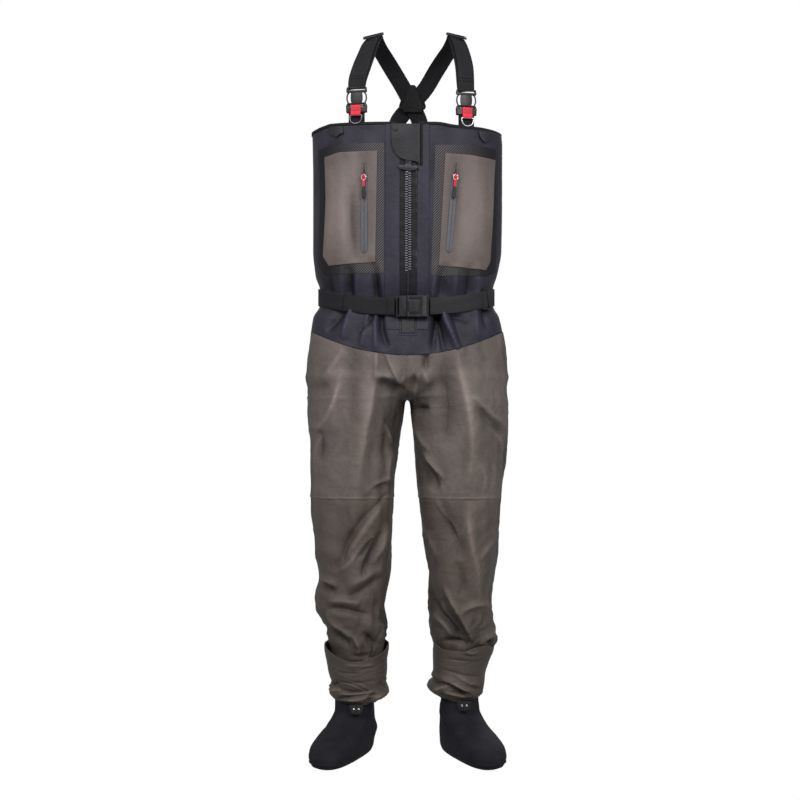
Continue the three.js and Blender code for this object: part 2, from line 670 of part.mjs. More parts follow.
// The clip is laid out facing -Y with its lower edge at z = 0, then turned to lie square on the chest.
function addClip(name, { clip, turn }) {
  const { width, depth, socket } = CLIP;
  const seat = new THREE.Group();
  seat.position.set(...clip);
  seat.rotation.z = turn;
  waders.add(seat);

  const sleeve = box(width - 6, depth - 4, socket + 2, 0, 0, socket / 2);
  addPiece(`${name}_clip_socket`, cut(box(width, depth, socket, 0, 0, socket / 2), sleeve), "plastic", seat);

  const barZ = socket + 24;
  const bar = cut(box(width - 1, 6, 14, 0, 0, barZ + 7), box(WEBBING + 1, 8, 3.5, 0, 0, barZ + 9));
  const arms = [-1, 1].map((end) => box(4.6, 4, 42, end * 17, 0, barZ - 18));
  const tongue = box(20, 3.6, 38, 0, 0, barZ - 16);
  addPiece(`${name}_clip_plug`, union(bar, ...arms, tongue), "plastic", seat);

  addPiece(`${name}_anchor_webbing`, box(WEBBING, WEB_THICK, 80, 0, 0, -40 - GAP), "webbing", seat);
  addPiece(`${name}_ring_keeper`, box(23, 1.6, 20, 0, -depth / 2 - 1.2, 5), "red", seat);

  const outline = [[-14.5, 0], [-14.5, -9], [-11, -17], [-5, -21], [5, -21], [11, -17], [14.5, -9], [14.5, 0]];
  const hole = [[-11.5, -3], [-11.5, -8.5], [-9, -14.5], [-4, -18], [4, -18], [9, -14.5], [11.5, -8.5], [11.5, -3]];
  const frame = cut(frontPrism(outline, -1.5, 1.5), frontPrism(hole, -2, 2));
  addPiece(`${name}_d_ring`, frame, name === "left" ? "steel" : "gunmetal", seat).position.set(0, -9.4, -6);
}

function addStraps(name, { clip, turn, glide, front, rear }) {
  const [x, y, z] = clip;
  const plugTop = z + CLIP.socket + 38 + GAP;
  const crestNormal = point(Math.sign(x) * 0.25, -0.12, 1).normalize();
  const chestNormal = point(Math.sin(turn), -Math.cos(turn), 0);
  const backNormal = point(0, 1, 0);
  const ease = (t) => t * t * (3 - 2 * t);

  const frontCurve = curveThrough([[x, y, plugTop], [x, y, plugTop + 14], ...front]);
  const frontNormal = (t) => chestNormal.clone().lerp(crestNormal, ease(t)).normalize();
  addPiece(`${name}_front_strap`, ribbon(frontCurve, frontNormal, 18, WEBBING, WEB_THICK), "webbing");

  const rearCurve = curveThrough(rear);
  const rearNormal = (t) => crestNormal.clone().lerp(backNormal, ease(Math.min(1, t * 2.2))).normalize();
  addPiece(`${name}_rear_strap`, ribbon(rearCurve, rearNormal, 30, WEBBING, WEB_THICK), "webbing");

  const seat = new THREE.Group();
  const glideNormal = point(Math.sign(x) * 0.25, -0.4, 1).normalize();
  seat.position.set(...glide).addScaledVector(glideNormal, WEB_THICK / 2 + GAP + 1.6);
  seat.quaternion.setFromUnitVectors(point(0, 0, 1), glideNormal);
  waders.add(seat);
  const frame = cut(box(50, 22, 3), box(42, 5.5, 6, 0, -5.5), box(42, 5.5, 6, 0, 5.5));
  addPiece(`${name}_strap_adjuster`, frame, "plastic", seat);
}

function addSuspenders() {
  for (const [name, strap] of Object.entries(STRAPS)) {
    addClip(name, strap);
    addStraps(name, strap);
  }
  const kite = [[0, -38], [32, -20], [24, 14], [0, 36], [-24, 14], [-32, -20]];
  const patch = frontPrism(kite.map(([x, z]) => [CROSS.x + x, CROSS.z + z]), 135.4, 138.4);
  addPiece("cross_patch", patch, "rubber");
}

addBib();
addMainZip();
addStormFlap();
addPockets();
addLegs();
addBelt();
addSuspenders();

waders.position.z = -HANG_HEIGHT;

export default waders;
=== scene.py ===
"""Chest waders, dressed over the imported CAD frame.

Shape numbers are millimetres: x towards the wearer's left, y to the back, z the height above the soles.
"""
import math
import bmesh
import bpy
import numpy as np
from mathutils import Matrix, Vector


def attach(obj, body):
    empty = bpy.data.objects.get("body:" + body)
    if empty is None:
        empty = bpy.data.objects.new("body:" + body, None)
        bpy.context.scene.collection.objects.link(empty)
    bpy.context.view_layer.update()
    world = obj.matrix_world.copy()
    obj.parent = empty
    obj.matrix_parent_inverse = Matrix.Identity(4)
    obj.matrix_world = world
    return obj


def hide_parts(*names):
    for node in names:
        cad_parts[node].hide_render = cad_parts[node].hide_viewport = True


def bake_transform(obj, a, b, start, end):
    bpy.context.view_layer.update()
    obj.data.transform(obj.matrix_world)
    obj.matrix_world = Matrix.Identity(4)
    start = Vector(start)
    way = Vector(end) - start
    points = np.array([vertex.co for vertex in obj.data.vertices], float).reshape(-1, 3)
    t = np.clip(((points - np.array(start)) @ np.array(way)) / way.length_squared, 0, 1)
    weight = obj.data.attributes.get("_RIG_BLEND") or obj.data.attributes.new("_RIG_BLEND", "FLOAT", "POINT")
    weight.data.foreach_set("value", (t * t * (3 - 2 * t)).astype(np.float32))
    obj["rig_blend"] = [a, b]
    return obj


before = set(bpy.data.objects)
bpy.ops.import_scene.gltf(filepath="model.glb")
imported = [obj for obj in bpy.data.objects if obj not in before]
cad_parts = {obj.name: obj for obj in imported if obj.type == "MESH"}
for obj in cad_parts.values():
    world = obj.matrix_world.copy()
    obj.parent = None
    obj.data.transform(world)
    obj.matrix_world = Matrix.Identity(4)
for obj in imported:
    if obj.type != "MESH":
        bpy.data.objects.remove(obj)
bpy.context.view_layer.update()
HANG = 1716                    # the frame's origin, between the shoulder straps
RIM = 1491
SHEET_TOP = 1490               # upper end of what is laid on the chest
SEAM_FRONT = 952               # seam between bib and legs, at the middle
SEAM_RISE = 58
KNEE = 618
BELT = 1093                    # the belt's middle, at the wearer's sides and back
BUCKLE = 1066                  # the buckle's middle
BACK_PRESS = 1066              # the back's folds are pressed flat up to 22 mm above and below this height
HIPS = 905                     # where the two legs part
WAIST_FOLDS_TOP = 1205         # the bib's waist folds end here, its long soft ones begin a little lower
CHEST = 2.6                    # squareness of the torso's cross-section
LEG = 2.2
SIDES = (("left", 1), ("right", -1))
ZIP_X = 2                      # the main zip's middle
TOOTH_PITCH = 5.7              # main zip
POCKET_ZIP_TOP = 1402
POCKET_ZIP_LENGTH = 214
WEB_WIDTH = 40
WEB_THICKNESS = 2.2
SOFT_EDGE = 1.2                # width of a laid sheet's rounded rim

# Torso: height, wearer's-right edge, wearer's-left edge, half depth, drop of the ring at the front.
TORSO = [
    [836, -200, 200, 40, 0], [850, -232, 234, 96, 0], [885, -240, 242, 126, 0], [944, -238, 238, 132, 0],
    [1002, -231, 230, 128, 8], [1046, -224, 220, 122, 20], [1074, -209, 206, 114, 27],
    [1112, -209, 206, 114, 27], [1140, -218, 214, 124, 12], [1160, -221, 219, 126, 0],
    [1203, -225, 226, 126, 0], [1376, -225, 228, 126, 0], [1455, -226, 228, 126, 0], [RIM, -227, 225, 124, 0],
]
# Legs: height, inner edge, outer edge, middle of the depth, half depth; 1 is the wearer's left, -1 the right.
LEGS = {
    1: [
        [150, 80, 172, 0, 56], [200, 82, 180, 0, 58], [250, 66, 196, 0, 64], [282, 58, 213, 0, 76],
        [330, 53, 206, 0, 84], [368, 53, 200, 0, 86], [426, 53, 209, 0, 90], [483, 43, 218, 0, 94],
        [598, 31, 223, 0, 102], [714, 19, 238, 0, 114], [829, 8, 242, 0, 126], [848, 5, 242, 0, 126],
        [860, -5, 241, 0, 125], [905, -6, 240, 0, 124],
    ],
    -1: [
        [150, 76, 168, 0, 56], [200, 68, 174, 0, 58], [250, 58, 182, 0, 64], [282, 52, 189, 0, 74],
        [310, 50, 196, 0, 80], [355, 56, 219, 0, 88], [380, 50, 221, 0, 88], [426, 42, 210, 0, 90],
        [483, 38, 221, 0, 94], [598, 34, 230, 0, 102], [714, 24, 229, 0, 114], [829, 6, 240, 0, 126],
        [848, 3, 240, 0, 126], [860, -5, 239, 0, 125], [905, -6, 238, 0, 124],
    ],
}
# Gravel guards, with the same columns.
GUARDS = {
    1: [
        [136, 77, 173, 0, 62], [145, 66, 179, 0, 67], [153, 55, 182, 0, 71], [163, 49, 183, 0, 72],
        [173, 53, 185, 0, 73], [181, 62, 186, 0, 74], [189, 58, 187, 0, 75], [199, 62, 189, 0, 75],
        [224, 64, 198, 0, 78], [258, 62, 208, 0, 84],
    ],
    -1: [
        [127, 70, 168, 0, 63], [136, 57, 177, 0, 68], [147, 44, 185, 0, 72], [157, 45, 187, 0, 72],
        [172, 50, 181, 0, 73], [195, 48, 188, 0, 75], [224, 47, 194, 0, 78], [258, 43, 198, 0, 84],
    ],
}
# The guards' open rims: place across the front, height.
GUARD_RIMS = {
    1: [[50, 282], [61, 279], [71, 267], [84, 259], [106, 258], [131, 256], [147, 261], [162, 266],
        [189, 268], [210, 257]],
    -1: [[-198, 264], [-190, 256], [-170, 243], [-150, 235], [-130, 231], [-110, 232], [-93, 239], [-68, 243],
         [-56, 249], [-46, 262], [-38, 274]],
}
# How far the rim of the bib droops, by the place across the front.
RIM_DROP = [[-227, 10], [-197, 4], [-176, 0], [68, 0], [112, 6], [170, 9], [200, 12], [227, 15]]
# Stocking foot: height, heel, toe and half width, measured from the ankle along the foot.
FOOT = [
    [0, -60, 194, 32], [5, -71, 208, 42], [22, -76, 214, 50], [42, -76, 203, 51], [60, -72, 162, 50],
    [76, -66, 112, 48], [92, -61, 76, 46], [108, -58, 57, 44], [149, -54, 54, 43],
]
ANKLE_X = 124
TOE_OUT = {1: math.radians(20.5), -1: math.radians(20)}
HOOKS = {1: (135, 137, math.radians(9)), -1: (-120, 128, math.radians(20))}

# Folds: height, half width, lean (-1 to 1, which flank is steeper), then points (x, z) along them.
# A negative height is a valley.
LEG_FOLDS = [
    (4, 7, 0.3, (-150, 968), (-176, 926), (-202, 892)),
    (-3, 14, 0, (-226, 884), (-208, 876), (-184, 886)),
    (5, 8, -0.3, (-71, 968), (-71, 930), (-74, 904)),
    (6, 18, -0.3, (-72, 915), (-82, 852), (-94, 797), (-106, 727), (-118, 640)),
    (-3, 16, 0, (-124, 950), (-130, 863), (-140, 760), (-142, 650)),
    (5, 7, 0.4, (-52, 962), (-32, 914), (-16, 886), (-8, 903)),
    (5, 7, 0.4, (-80, 900), (-64, 904), (-44, 902), (-28, 896)),
    (-9, 10, 0.2, (-68, 893), (-47, 880), (-24, 872), (-3, 876)),
    (-5, 14, 0, (-52, 850), (-46, 780), (-56, 700)),
    (5, 7, -0.3, (-156, 886), (-172, 836), (-191, 797), (-218, 772)),
    (3, 12, -0.3, (-154, 920), (-166, 836), (-172, 770)),
    (-5, 7, 0, (-205, 778), (-202, 740), (-210, 704)),
    (5, 5, -0.3, (-203, 768), (-213, 720), (-216, 696)),
    (5, 5, 0.2, (-48, 792), (-40, 766), (-31, 744)),
    (-9, 12, 0, (-10, 850), (-20, 790), (-30, 720)),
    (4, 4, 0, (-31, 734), (-44, 688), (-48, 661), (-66, 652)),
    (3, 4, 0, (-102, 626), (-75, 650), (-30, 667)),
    (-4, 8, 0, (-86, 640), (-60, 646), (-30, 650)),
    (-7, 7, 0, (45, 962), (44, 938), (44, 914)),
    (5, 9, 0, (36, 918), (44, 900), (50, 884)),
    (3, 5, 0, (24, 912), (19, 871), (14, 838)),
    (-7, 10, 0, (12, 906), (18, 888), (12, 868)),
    (-8, 16, 0.1, (89, 966), (85, 883), (88, 825), (81, 740)),
    (8, 19, 0.3, (116, 968), (120, 922), (128, 883), (139, 836), (149, 750), (140, 640)),
    (5, 7, 0.4, (151, 858), (178, 829), (205, 805), (234, 786)),
    (-6, 12, 0, (154, 832), (180, 812), (204, 778)),
    (-6, 7, 0, (207, 792), (226, 764)),
    (4, 5, 0.3, (200, 772), (217, 750), (226, 722)),
    (-8, 8, 0, (4, 828), (26, 828), (52, 832)),
    (6, 5, 0.2, (8, 818), (19, 782), (34, 751), (52, 728)),
    (-7, 12, 0, (12, 780), (28, 705), (44, 640)),
    (5, 5, 0.2, (36, 729), (61, 692), (88, 662)),
    (-7, 14, 0, (34, 700), (56, 668), (72, 638)),
    (4, 8, 0, (172, 700), (180, 660), (178, 630)),
    (-6, 12, 0, (-90, 594), (-121, 548), (-141, 509), (-156, 470), (-174, 446)),
    (-4, 4, 0, (-36, 636), (-78, 595), (-110, 556), (-133, 517), (-152, 474)),
    (5, 13, 0.3, (-50, 612), (-88, 566), (-122, 515), (-146, 478)),
    (5, 7, 0.5, (-76, 534), (-94, 521), (-114, 494), (-137, 466), (-176, 442)),
    (-7, 9, -0.2, (-80, 524), (-102, 494), (-124, 470)),
    (-9, 6, 0, (-62, 540), (-75, 505), (-94, 466), (-107, 424)),
    (6, 8, 0.3, (-48, 560), (-62, 505), (-82, 462)),
    (5, 6, 0.5, (-208, 424), (-186, 418), (-164, 408)),
    (-7, 7, 0, (-208, 406), (-188, 404), (-166, 398)),
    (-7, 11, 0, (-58, 434), (-94, 408), (-133, 385), (-148, 372)),
    (4, 9, 0, (-60, 452), (-100, 430), (-140, 408)),
    (-7, 8, 0, (-196, 352), (-152, 358), (-114, 348), (-82, 343)),
    (5, 8, 0, (-190, 372), (-150, 376), (-106, 368)),
    (6, 5, 0.4, (-194, 350), (-180, 330), (-152, 306), (-119, 283)),
    (-8, 7, 0, (-190, 302), (-156, 286), (-133, 266)),
    (-8, 10, 0, (-104, 302), (-84, 280), (-70, 262)),
    (6, 6, 0, (-128, 290), (-114, 266), (-118, 244)),
    (5, 7, 0, (-62, 330), (-62, 296), (-76, 262)),
    (6, 15, 0.2, (146, 612), (143, 560), (151, 500), (163, 450), (166, 372)),
    (-7, 12, 0.2, (80, 600), (108, 541), (124, 502), (118, 474)),
    (-4, 11, 0, (112, 468), (132, 420), (120, 384)),
    (4, 4, 0.2, (68, 614), (89, 579), (112, 548), (124, 509)),
    (4, 5, 0.2, (33, 560), (50, 521), (70, 478)),
    (4, 5, 0.2, (212, 532), (190, 502), (168, 472)),
    (-6, 12, 0, (30, 540), (44, 480), (54, 430)),
    (-11, 10, -0.2, (58, 408), (68, 352), (97, 322), (128, 292), (154, 270)),
    (8, 5, 0.5, (84, 408), (108, 366), (124, 338), (155, 276)),
    (-6, 7, 0, (80, 384), (98, 346), (122, 316), (146, 284)),
    (6, 7, 0.2, (124, 342), (162, 366), (200, 354)),
    (6, 6, 0, (56, 344), (85, 319), (108, 291)),
    (-9, 6, 0, (84, 282), (114, 278), (146, 270)),
    (-8, 6, 0, (192, 284), (202, 262)),
    (5, 7, 0.3, (212, 300), (190, 288), (168, 274)),
]
LEG_BACK_FOLDS = [
    (7, 13, 0.3, (-20, 842), (-90, 812), (-180, 796)),
    (7, 13, -0.3, (20, 842), (100, 806), (190, 800)),
    (-6, 12, 0, (-24, 822), (-100, 790), (-170, 776)),
    (-6, 12, 0, (24, 822), (96, 784), (180, 776)),
    (6, 20, 0, (-120, 960), (-118, 900), (-100, 840)),
    (6, 20, 0, (120, 960), (124, 900), (104, 840)),
    (8, 12, 0.3, (-190, 640), (-120, 600), (-50, 630)),
    (-7, 11, 0, (-196, 612), (-120, 576), (-48, 604)),
    (6, 11, 0.3, (-186, 570), (-120, 548), (-60, 570)),
    (8, 12, 0.3, (50, 630), (130, 596), (200, 640)),
    (-7, 11, 0, (50, 604), (130, 572), (204, 612)),
    (6, 11, 0.3, (60, 566), (130, 546), (196, 574)),
    (6, 11, 0.3, (-190, 380), (-130, 350), (-70, 366)),
    (6, 11, 0.3, (70, 380), (130, 352), (190, 372)),
    (-6, 9, 0, (-180, 342), (-130, 326), (-70, 336)),
    (-6, 9, 0, (70, 346), (130, 326), (190, 338)),
    (6, 9, 0.3, (-180, 310), (-120, 298), (-70, 312)),
    (6, 9, 0.3, (70, 314), (130, 298), (196, 312)),
]
BIB_FOLDS = [
    (-9, 9, 0, (-137, 1160), (-134, 1125), (-132, 1080)),
    (5, 9, 0, (-120, 1176), (-118, 1130), (-119, 1080)),
    (4, 9, 0, (-156, 1168), (-153, 1130), (-150, 1080)),
    (-9, 8, 0, (-88, 1178), (-76, 1140), (-70, 1090), (-69, 1070)),
    (5, 8, 0, (-66, 1170), (-58, 1130), (-56, 1080)),
    (-8, 10, 0, (92, 1168), (82, 1130), (76, 1080)),
    (6, 8, 0.3, (70, 1176), (62, 1130), (58, 1080)),
    (-7, 10, 0, (150, 1168), (146, 1120), (140, 1078)),
    (5, 11, 0, (170, 1170), (166, 1120), (164, 1080)),
    (5, 11, 0, (116, 1166), (112, 1120), (108, 1080)),
    (-6, 10, 0, (-186, 1160), (-182, 1120), (-180, 1080)),
    (-7, 11, -0.3, (-140, 1078), (-160, 1040), (-190, 1008)),
    (7, 10, 0.4, (-128, 1076), (-140, 1040), (-152, 990)),
    (-8, 8, -0.3, (-66, 1080), (-84, 1040), (-118, 1000)),
    (6, 11, 0.4, (-84, 1070), (-96, 1030), (-108, 970)),
    (-12, 8, -0.3, (-60, 1084), (-60, 1040), (-57, 1004), (-42, 968)),
    (7, 9, 0.3, (-72, 1078), (-74, 1020), (-72, 956)),
    (-11, 8, 0, (66, 1088), (68, 1040), (64, 1000), (58, 952)),
    (-10, 9, 0.3, (68, 1080), (74, 1030), (80, 990), (86, 950)),
    (11, 8, 0.5, (78, 1086), (84, 1044), (102, 1000), (122, 952)),
    (-6, 10, 0, (100, 1076), (114, 1020), (130, 968)),
    (-5, 8, 0, (104, 1046), (124, 1038), (150, 1034)),
    (-7, 10, 0, (180, 1084), (184, 1040), (190, 1010)),
    (5, 10, 0, (160, 1080), (160, 1040), (168, 990)),
    (2.2, 12, 0, (-40, 1400), (-36, 1300), (-35, 1180)),
    (2.2, 9, 0, (38, 1440), (36, 1330), (34, 1190)),
    (2, 8, 0, (56, 1360), (52, 1280), (46, 1180)),
    (-3, 26, 0, (-214, 1420), (-216, 1300), (-214, 1180)),
    (-2.5, 18, 0, (-90, 1488), (-84, 1470), (-70, 1446)),
    (-2.5, 18, 0, (80, 1488), (90, 1468), (110, 1446)),
]
BIB_BACK_FOLDS = [(-8, 11, 0, (x, 1180), (x * 0.98, 1120), (x * 0.97, 1060))
                  for x in (30, 78, 128, 172, -60, -108, -160)]
BIB_BACK_FOLDS += [(6, 12, 0, (x, 1150), (x, 1090), (x * 1.06, 990)) for x in (54, 104, 150, -84, -134, -186)]
GUARD_FOLDS = {
    1: [
        (-3, 3.5, 0, (74, 214), (106, 207), (134, 199), (176, 195)),
        (-9, 5, -0.4, (52, 184), (74, 177), (97, 178), (117, 168), (137, 159), (157, 154), (178, 150)),
        (8, 6, 0.4, (78, 186), (102, 181), (131, 165), (147, 157), (172, 145)),
        (-6, 4.5, 0, (92, 160), (117, 158), (137, 154), (150, 148)),
        (6, 5, 0, (60, 158), (74, 165), (86, 172), (98, 175)),
        (6, 5, 0.2, (84, 156), (104, 154), (124, 150), (142, 143)),
        (-6, 4.5, 0, (72, 156), (97, 149), (116, 146)),
        (-5, 5, 0, (150, 172), (165, 166), (180, 160)),
        (4, 7, 0.3, (112, 205), (130, 190), (150, 178), (174, 168)),
        (-3.5, 3, 0, (131, 251), (147, 246), (163, 248)),
        (3, 4, 0, (135, 256), (150, 251), (170, 255)),
        (-2.5, 3, 0, (90, 240), (120, 236), (160, 232)),
    ],
    -1: [
        (-8, 4.5, 0.3, (-166, 170), (-150, 162), (-130, 158), (-93, 161), (-76, 164)),
        (7, 6, 0, (-162, 152), (-150, 154), (-126, 154), (-96, 157), (-78, 160)),
        (-8, 4.5, 0.3, (-167, 141), (-150, 144), (-126, 149), (-101, 152), (-84, 156)),
        (6, 6, 0, (-158, 135), (-140, 137), (-118, 139), (-93, 146)),
        (-5, 4, 0, (-92, 149), (-82, 151), (-70, 154)),
        (-6, 4.5, 0, (-106, 133), (-90, 140), (-76, 145)),
        (6, 6, 0, (-88, 136), (-72, 143), (-58, 149), (-44, 150)),
        (-6, 5, 0, (-184, 166), (-174, 172), (-160, 176)),
        (5, 6, 0, (-186, 157), (-172, 160), (-158, 164)),
        (-2.5, 3.5, 0, (-172, 184), (-143, 180), (-110, 182), (-66, 186)),
        (2.5, 3.5, 0, (-112, 219), (-95, 221), (-74, 221)),
        (-2.5, 3, 0, (-112, 214), (-95, 216), (-74, 216)),
        (3, 5, 0, (-150, 226), (-130, 222), (-104, 224)),
        (-2.5, 3, 0, (-166, 206), (-140, 204), (-110, 204)),
    ],
}
POCKET_FOLDS = [
    (-3.5, 7, 0.4, (-124, 1350), (-130, 1300), (-128, 1240), (-118, 1172)),
    (4, 22, 0, (-146, 1410), (-152, 1310), (-150, 1200), (-142, 1160)),
    (2.5, 18, 0, (-184, 1400), (-178, 1300), (-184, 1200)),
    (3, 34, 0, (160, 1400), (158, 1290), (150, 1180)),
    (-1.5, 10, 0, (190, 1380), (186, 1290), (184, 1190)),
]


# ---- Shape helpers ------------------------------------------------------------------------

def hermite(start, end, leaving, arriving, t):
    """A cubic from start to end with given slopes at its ends, as t goes from 0 to 1."""
    return (start * (2 * t**3 - 3 * t**2 + 1) + leaving * (t**3 - 2 * t**2 + t)
            + end * (3 * t**2 - 2 * t**3) + arriving * (t**3 - t**2))


def row_at(table, height):
    """A table's columns at any height, by a smooth curve that never overshoots its rows."""
    rows = np.array(table, float)
    places, values = rows[:, 0], rows[:, 1:]
    height = np.clip(np.asarray(height, float), places[0], places[-1])
    steps = np.diff(places)
    slopes = np.diff(values, axis=0) / steps[:, None]
    before, after = slopes[:-1], slopes[1:]
    level = before * after <= 0
    middle = np.where(level, 0, 2 * before * after / np.where(level, 1, before + after))
    tangents = np.vstack([values[:1] * 0, middle, values[:1] * 0])
    i = np.clip(np.searchsorted(places, height, side="right") - 1, 0, len(steps) - 1)
    step = steps[i][..., None]
    t = (height - places[i])[..., None] / step
    value = hermite(values[i], values[i + 1], tangents[i] * step, tangents[i + 1] * step, t)
    return np.moveaxis(value, -1, 0)


def torso_at(height):
    """The torso's middle, half width, half depth and front drop at a height."""
    right, left, depth, drop = row_at(TORSO, height)
    return (left + right) / 2, (left - right) / 2, depth, drop


def power(value, squareness):
    return np.sign(value) * np.abs(value) ** (2 / squareness)


def smooth(t):
    t = np.clip(t, 0, 1)
    return t * t * (3 - 2 * t)


def bell(t):
    return np.exp(-(t**2))


def unit(vectors):
    return vectors / np.linalg.norm(vectors, axis=-1)[..., None]


def run_of(line):
    """The lengths from a line's start to each of its points."""
    return np.concatenate([[0], np.cumsum(np.linalg.norm(np.diff(line, axis=0), axis=1))])


def walk(line, shares):
    """Places on a line of points at shares of its length."""
    line = np.array(line, float)
    run = run_of(line)
    return np.stack([np.interp(shares * run[-1], run, column) for column in line.T], axis=-1)


def smooth_line(points, count):
    """Points evenly spaced along a smooth curve through a list of points."""
    p = np.array(points, float)
    if len(p) > 2:
        steps = np.linalg.norm(np.diff(p, axis=0), axis=1)[:, None] ** 0.5
        slopes = np.diff(p, axis=0) / steps
        inner = (slopes[:-1] * steps[1:] + slopes[1:] * steps[:-1]) / (steps[:-1] + steps[1:])
        tangents = np.vstack([2 * slopes[:1] - inner[:1], inner, 2 * slopes[-1:] - inner[-1:]])
        t = np.linspace(0, 1, 24, endpoint=False)[:, None]
        dense = [hermite(p[i], p[i + 1], tangents[i] * steps[i], tangents[i + 1] * steps[i], t)
                 for i in range(len(p) - 1)]
        p = np.vstack(dense + [p[-1:]])
    return walk(p, np.linspace(0, 1, count))


def ripple(x, z, size, seed, stretch=1.0):
    """A repeatable gentle unevenness between about -1 and 1."""
    dice = np.random.default_rng(seed)
    total = 0
    for _ in range(8):
        turn, phase = dice.uniform(0, 2 * math.pi, 2)
        pace = 2 * math.pi / size * dice.uniform(0.6, 1.5)
        total = total + np.sin(pace * (math.cos(turn) * x + math.sin(turn) * z / stretch) + phase)
    return total / 3.2


def crumple(x, z, size, seed, stretch=1.0):
    """Soft flats between sharp little ridges, from about -1 to 1."""
    bend = 0.35 * size * ripple(x, z, 2 * size, seed + 100, stretch)
    return 1 - 1.6 * np.abs(ripple(x + bend, z - bend, size, seed, stretch)) ** 0.8


def folded(folds, x, z, narrow=1.0):
    """How far a list of folds lifts the cloth at places in the front or back view; narrow thins the folds."""
    lift = np.zeros(np.shape(x))
    for height, width, lean, *points in folds:
        line = smooth_line(points, 3 * len(points))
        total = run_of(line)[-1]
        near, along, flank, done = lift + 1e9, lift * 0, lift * 0, 0
        for (x0, z0), (x1, z1) in zip(line, line[1:]):
            step = math.dist((x0, z0), (x1, z1))
            dx, dz = (x1 - x0) / step, (z1 - z0) / step
            t = np.clip((x - x0) * dx + (z - z0) * dz, 0, step)
            ox, oz = x - x0 - t * dx, z - z0 - t * dz
            away = np.hypot(ox, oz)
            closer = away < near
            near = np.where(closer, away, near)
            along = np.where(closer, np.clip((done + t) / total, 0, 1), along)
            flank = np.where(closer, np.sign(dx * oz - dz * ox), flank)
            done += step
        reach = width * narrow * (1 + lean * flank)
        lift = lift + height * np.sin(np.pi * along) ** 0.7 * np.exp(-(near / reach) ** 1.3)
    return lift


def fold_highlight_and_shade(folds, x, z):
    """How light the cloth is painted: painted highlights up on the folds' sharp ridges and painted shade down
    in their valleys.
    """
    ridges = [fold for fold in folds if fold[0] > 0]
    return 0.6 * folded(folds, x, z) + 0.9 * folded(ridges, x, z, 0.4)


def rounded(corners, radius):
    """An outline with its corners rounded off."""
    out = []
    for i, corner in enumerate(corners):
        here = np.array(corner, float)
        away = [np.array(corners[k], float) - here for k in (i - 1, (i + 1) % len(corners))]
        r = min(radius, *(0.45 * np.linalg.norm(leg) for leg in away))
        a, b = (here + leg / np.linalg.norm(leg) * r for leg in away)
        out += [(1 - t) ** 2 * a + 2 * t * (1 - t) * here + t * t * b for t in np.linspace(0, 1, 5)]
    return out


def both_sides(half, radius):
    """A rounded symmetric outline from the corners of its half at x >= 0, in order."""
    whole = half + [(-x, z) for x, z in half[::-1] if x]
    return rounded(whole[-1:] + whole[:-1], radius)


def rectangle(width, height, radius, x=0.0, z=0.0):
    w, h = width / 2, height / 2
    return rounded([(x - w, z - h), (x + w, z - h), (x + w, z + h), (x - w, z + h)], radius)


def circle(radius, count, x=0.0, z=0.0):
    angles = np.linspace(0, 2 * math.pi, count + 1)[:-1]
    return [(x + radius * math.cos(a), z + radius * math.sin(a)) for a in angles]


def shift(x=0.0, y=0.0, z=0.0):
    return Matrix.Translation((x, y, z))


def seated(seat, points):
    """Points given in a seat's frame, moved to where it sits."""
    return [tuple(seat @ Vector(p)) for p in points]


# ---- Mesh helpers -------------------------------------------------------------------------

def to_row(points):
    out = np.array(points, float) / 1000
    out[..., 2] -= HANG / 1000
    return out


def add(name, data):
    made = bpy.data.objects.new(name, data)
    bpy.context.scene.collection.objects.link(made)
    return made


def link(name, mesh, material, body="garment", slot=None, replaces=()):
    """Adds a piece. Its body is None if it is blended; slot is not used."""
    mesh.materials.clear()
    mesh.materials.append(material)
    made = add(name, mesh)
    if body:
        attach(made, body)
    if replaces:
        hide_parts(*replaces)
    return made


def weld(mesh, then=None):
    """Joins a mesh's double points, and does one more bmesh step if it is given."""
    work = bmesh.new()
    work.from_mesh(mesh)
    bmesh.ops.remove_doubles(work, verts=work.verts, dist=1e-6)
    if then:
        then(work)
    work.to_mesh(mesh)
    work.free()


def smooth_faces(mesh, on=True):
    mesh.polygons.foreach_set("use_smooth", [on] * len(mesh.polygons))


def evaluated(made):
    """The mesh that an object's curve or modifiers give."""
    bpy.context.view_layer.update()
    return bpy.data.meshes.new_from_object(made.evaluated_get(bpy.context.evaluated_depsgraph_get()))


def piece(name, points, faces, material, flat=None, painted_shade_and_tone=None, **where):
    """A smooth mesh from points; flat is each point's place on the cloth; the shading values after it give
    how light each point is painted, with painted highlights and painted shade from its folds and some random
    tone.
    """
    mesh = bpy.data.meshes.new(name)
    mesh.from_pydata(to_row(points).tolist(), [], faces)
    if painted_shade_and_tone is not None:
        layer = mesh.attributes.new("painted_shade_and_tone", "FLOAT", "POINT")
        layer.data.foreach_set("value", np.array(painted_shade_and_tone, np.float32).ravel())
    if flat is not None:
        layer = mesh.uv_layers.new(name="flat")
        corner = np.zeros(len(mesh.loops), np.int32)
        mesh.loops.foreach_get("vertex_index", corner)
        layer.data.foreach_set("uv", np.array(flat, np.float32)[corner].ravel())
    weld(mesh, lambda work: bmesh.ops.recalc_face_normals(work, faces=work.faces))
    smooth_faces(mesh)
    return link(name, mesh, material, **where)


def grid_faces(rows, columns, ring=False):
    faces = []
    for r in range(rows - 1):
        for c in range(columns if ring else columns - 1):
            a, b = r * columns + c, r * columns + (c + 1) % columns
            faces.append((a, b, b + columns, a + columns))
    return faces


def end_faces(rows, columns):
    """Closes both ends of a ring grid."""
    return [tuple(range(columns)), tuple(range((rows - 1) * columns, rows * columns))[::-1]]


def modify(made, kind, **settings):
    modifier = made.modifiers.new(kind.lower(), kind)
    for key, value in settings.items():
        setattr(modifier, key, value)


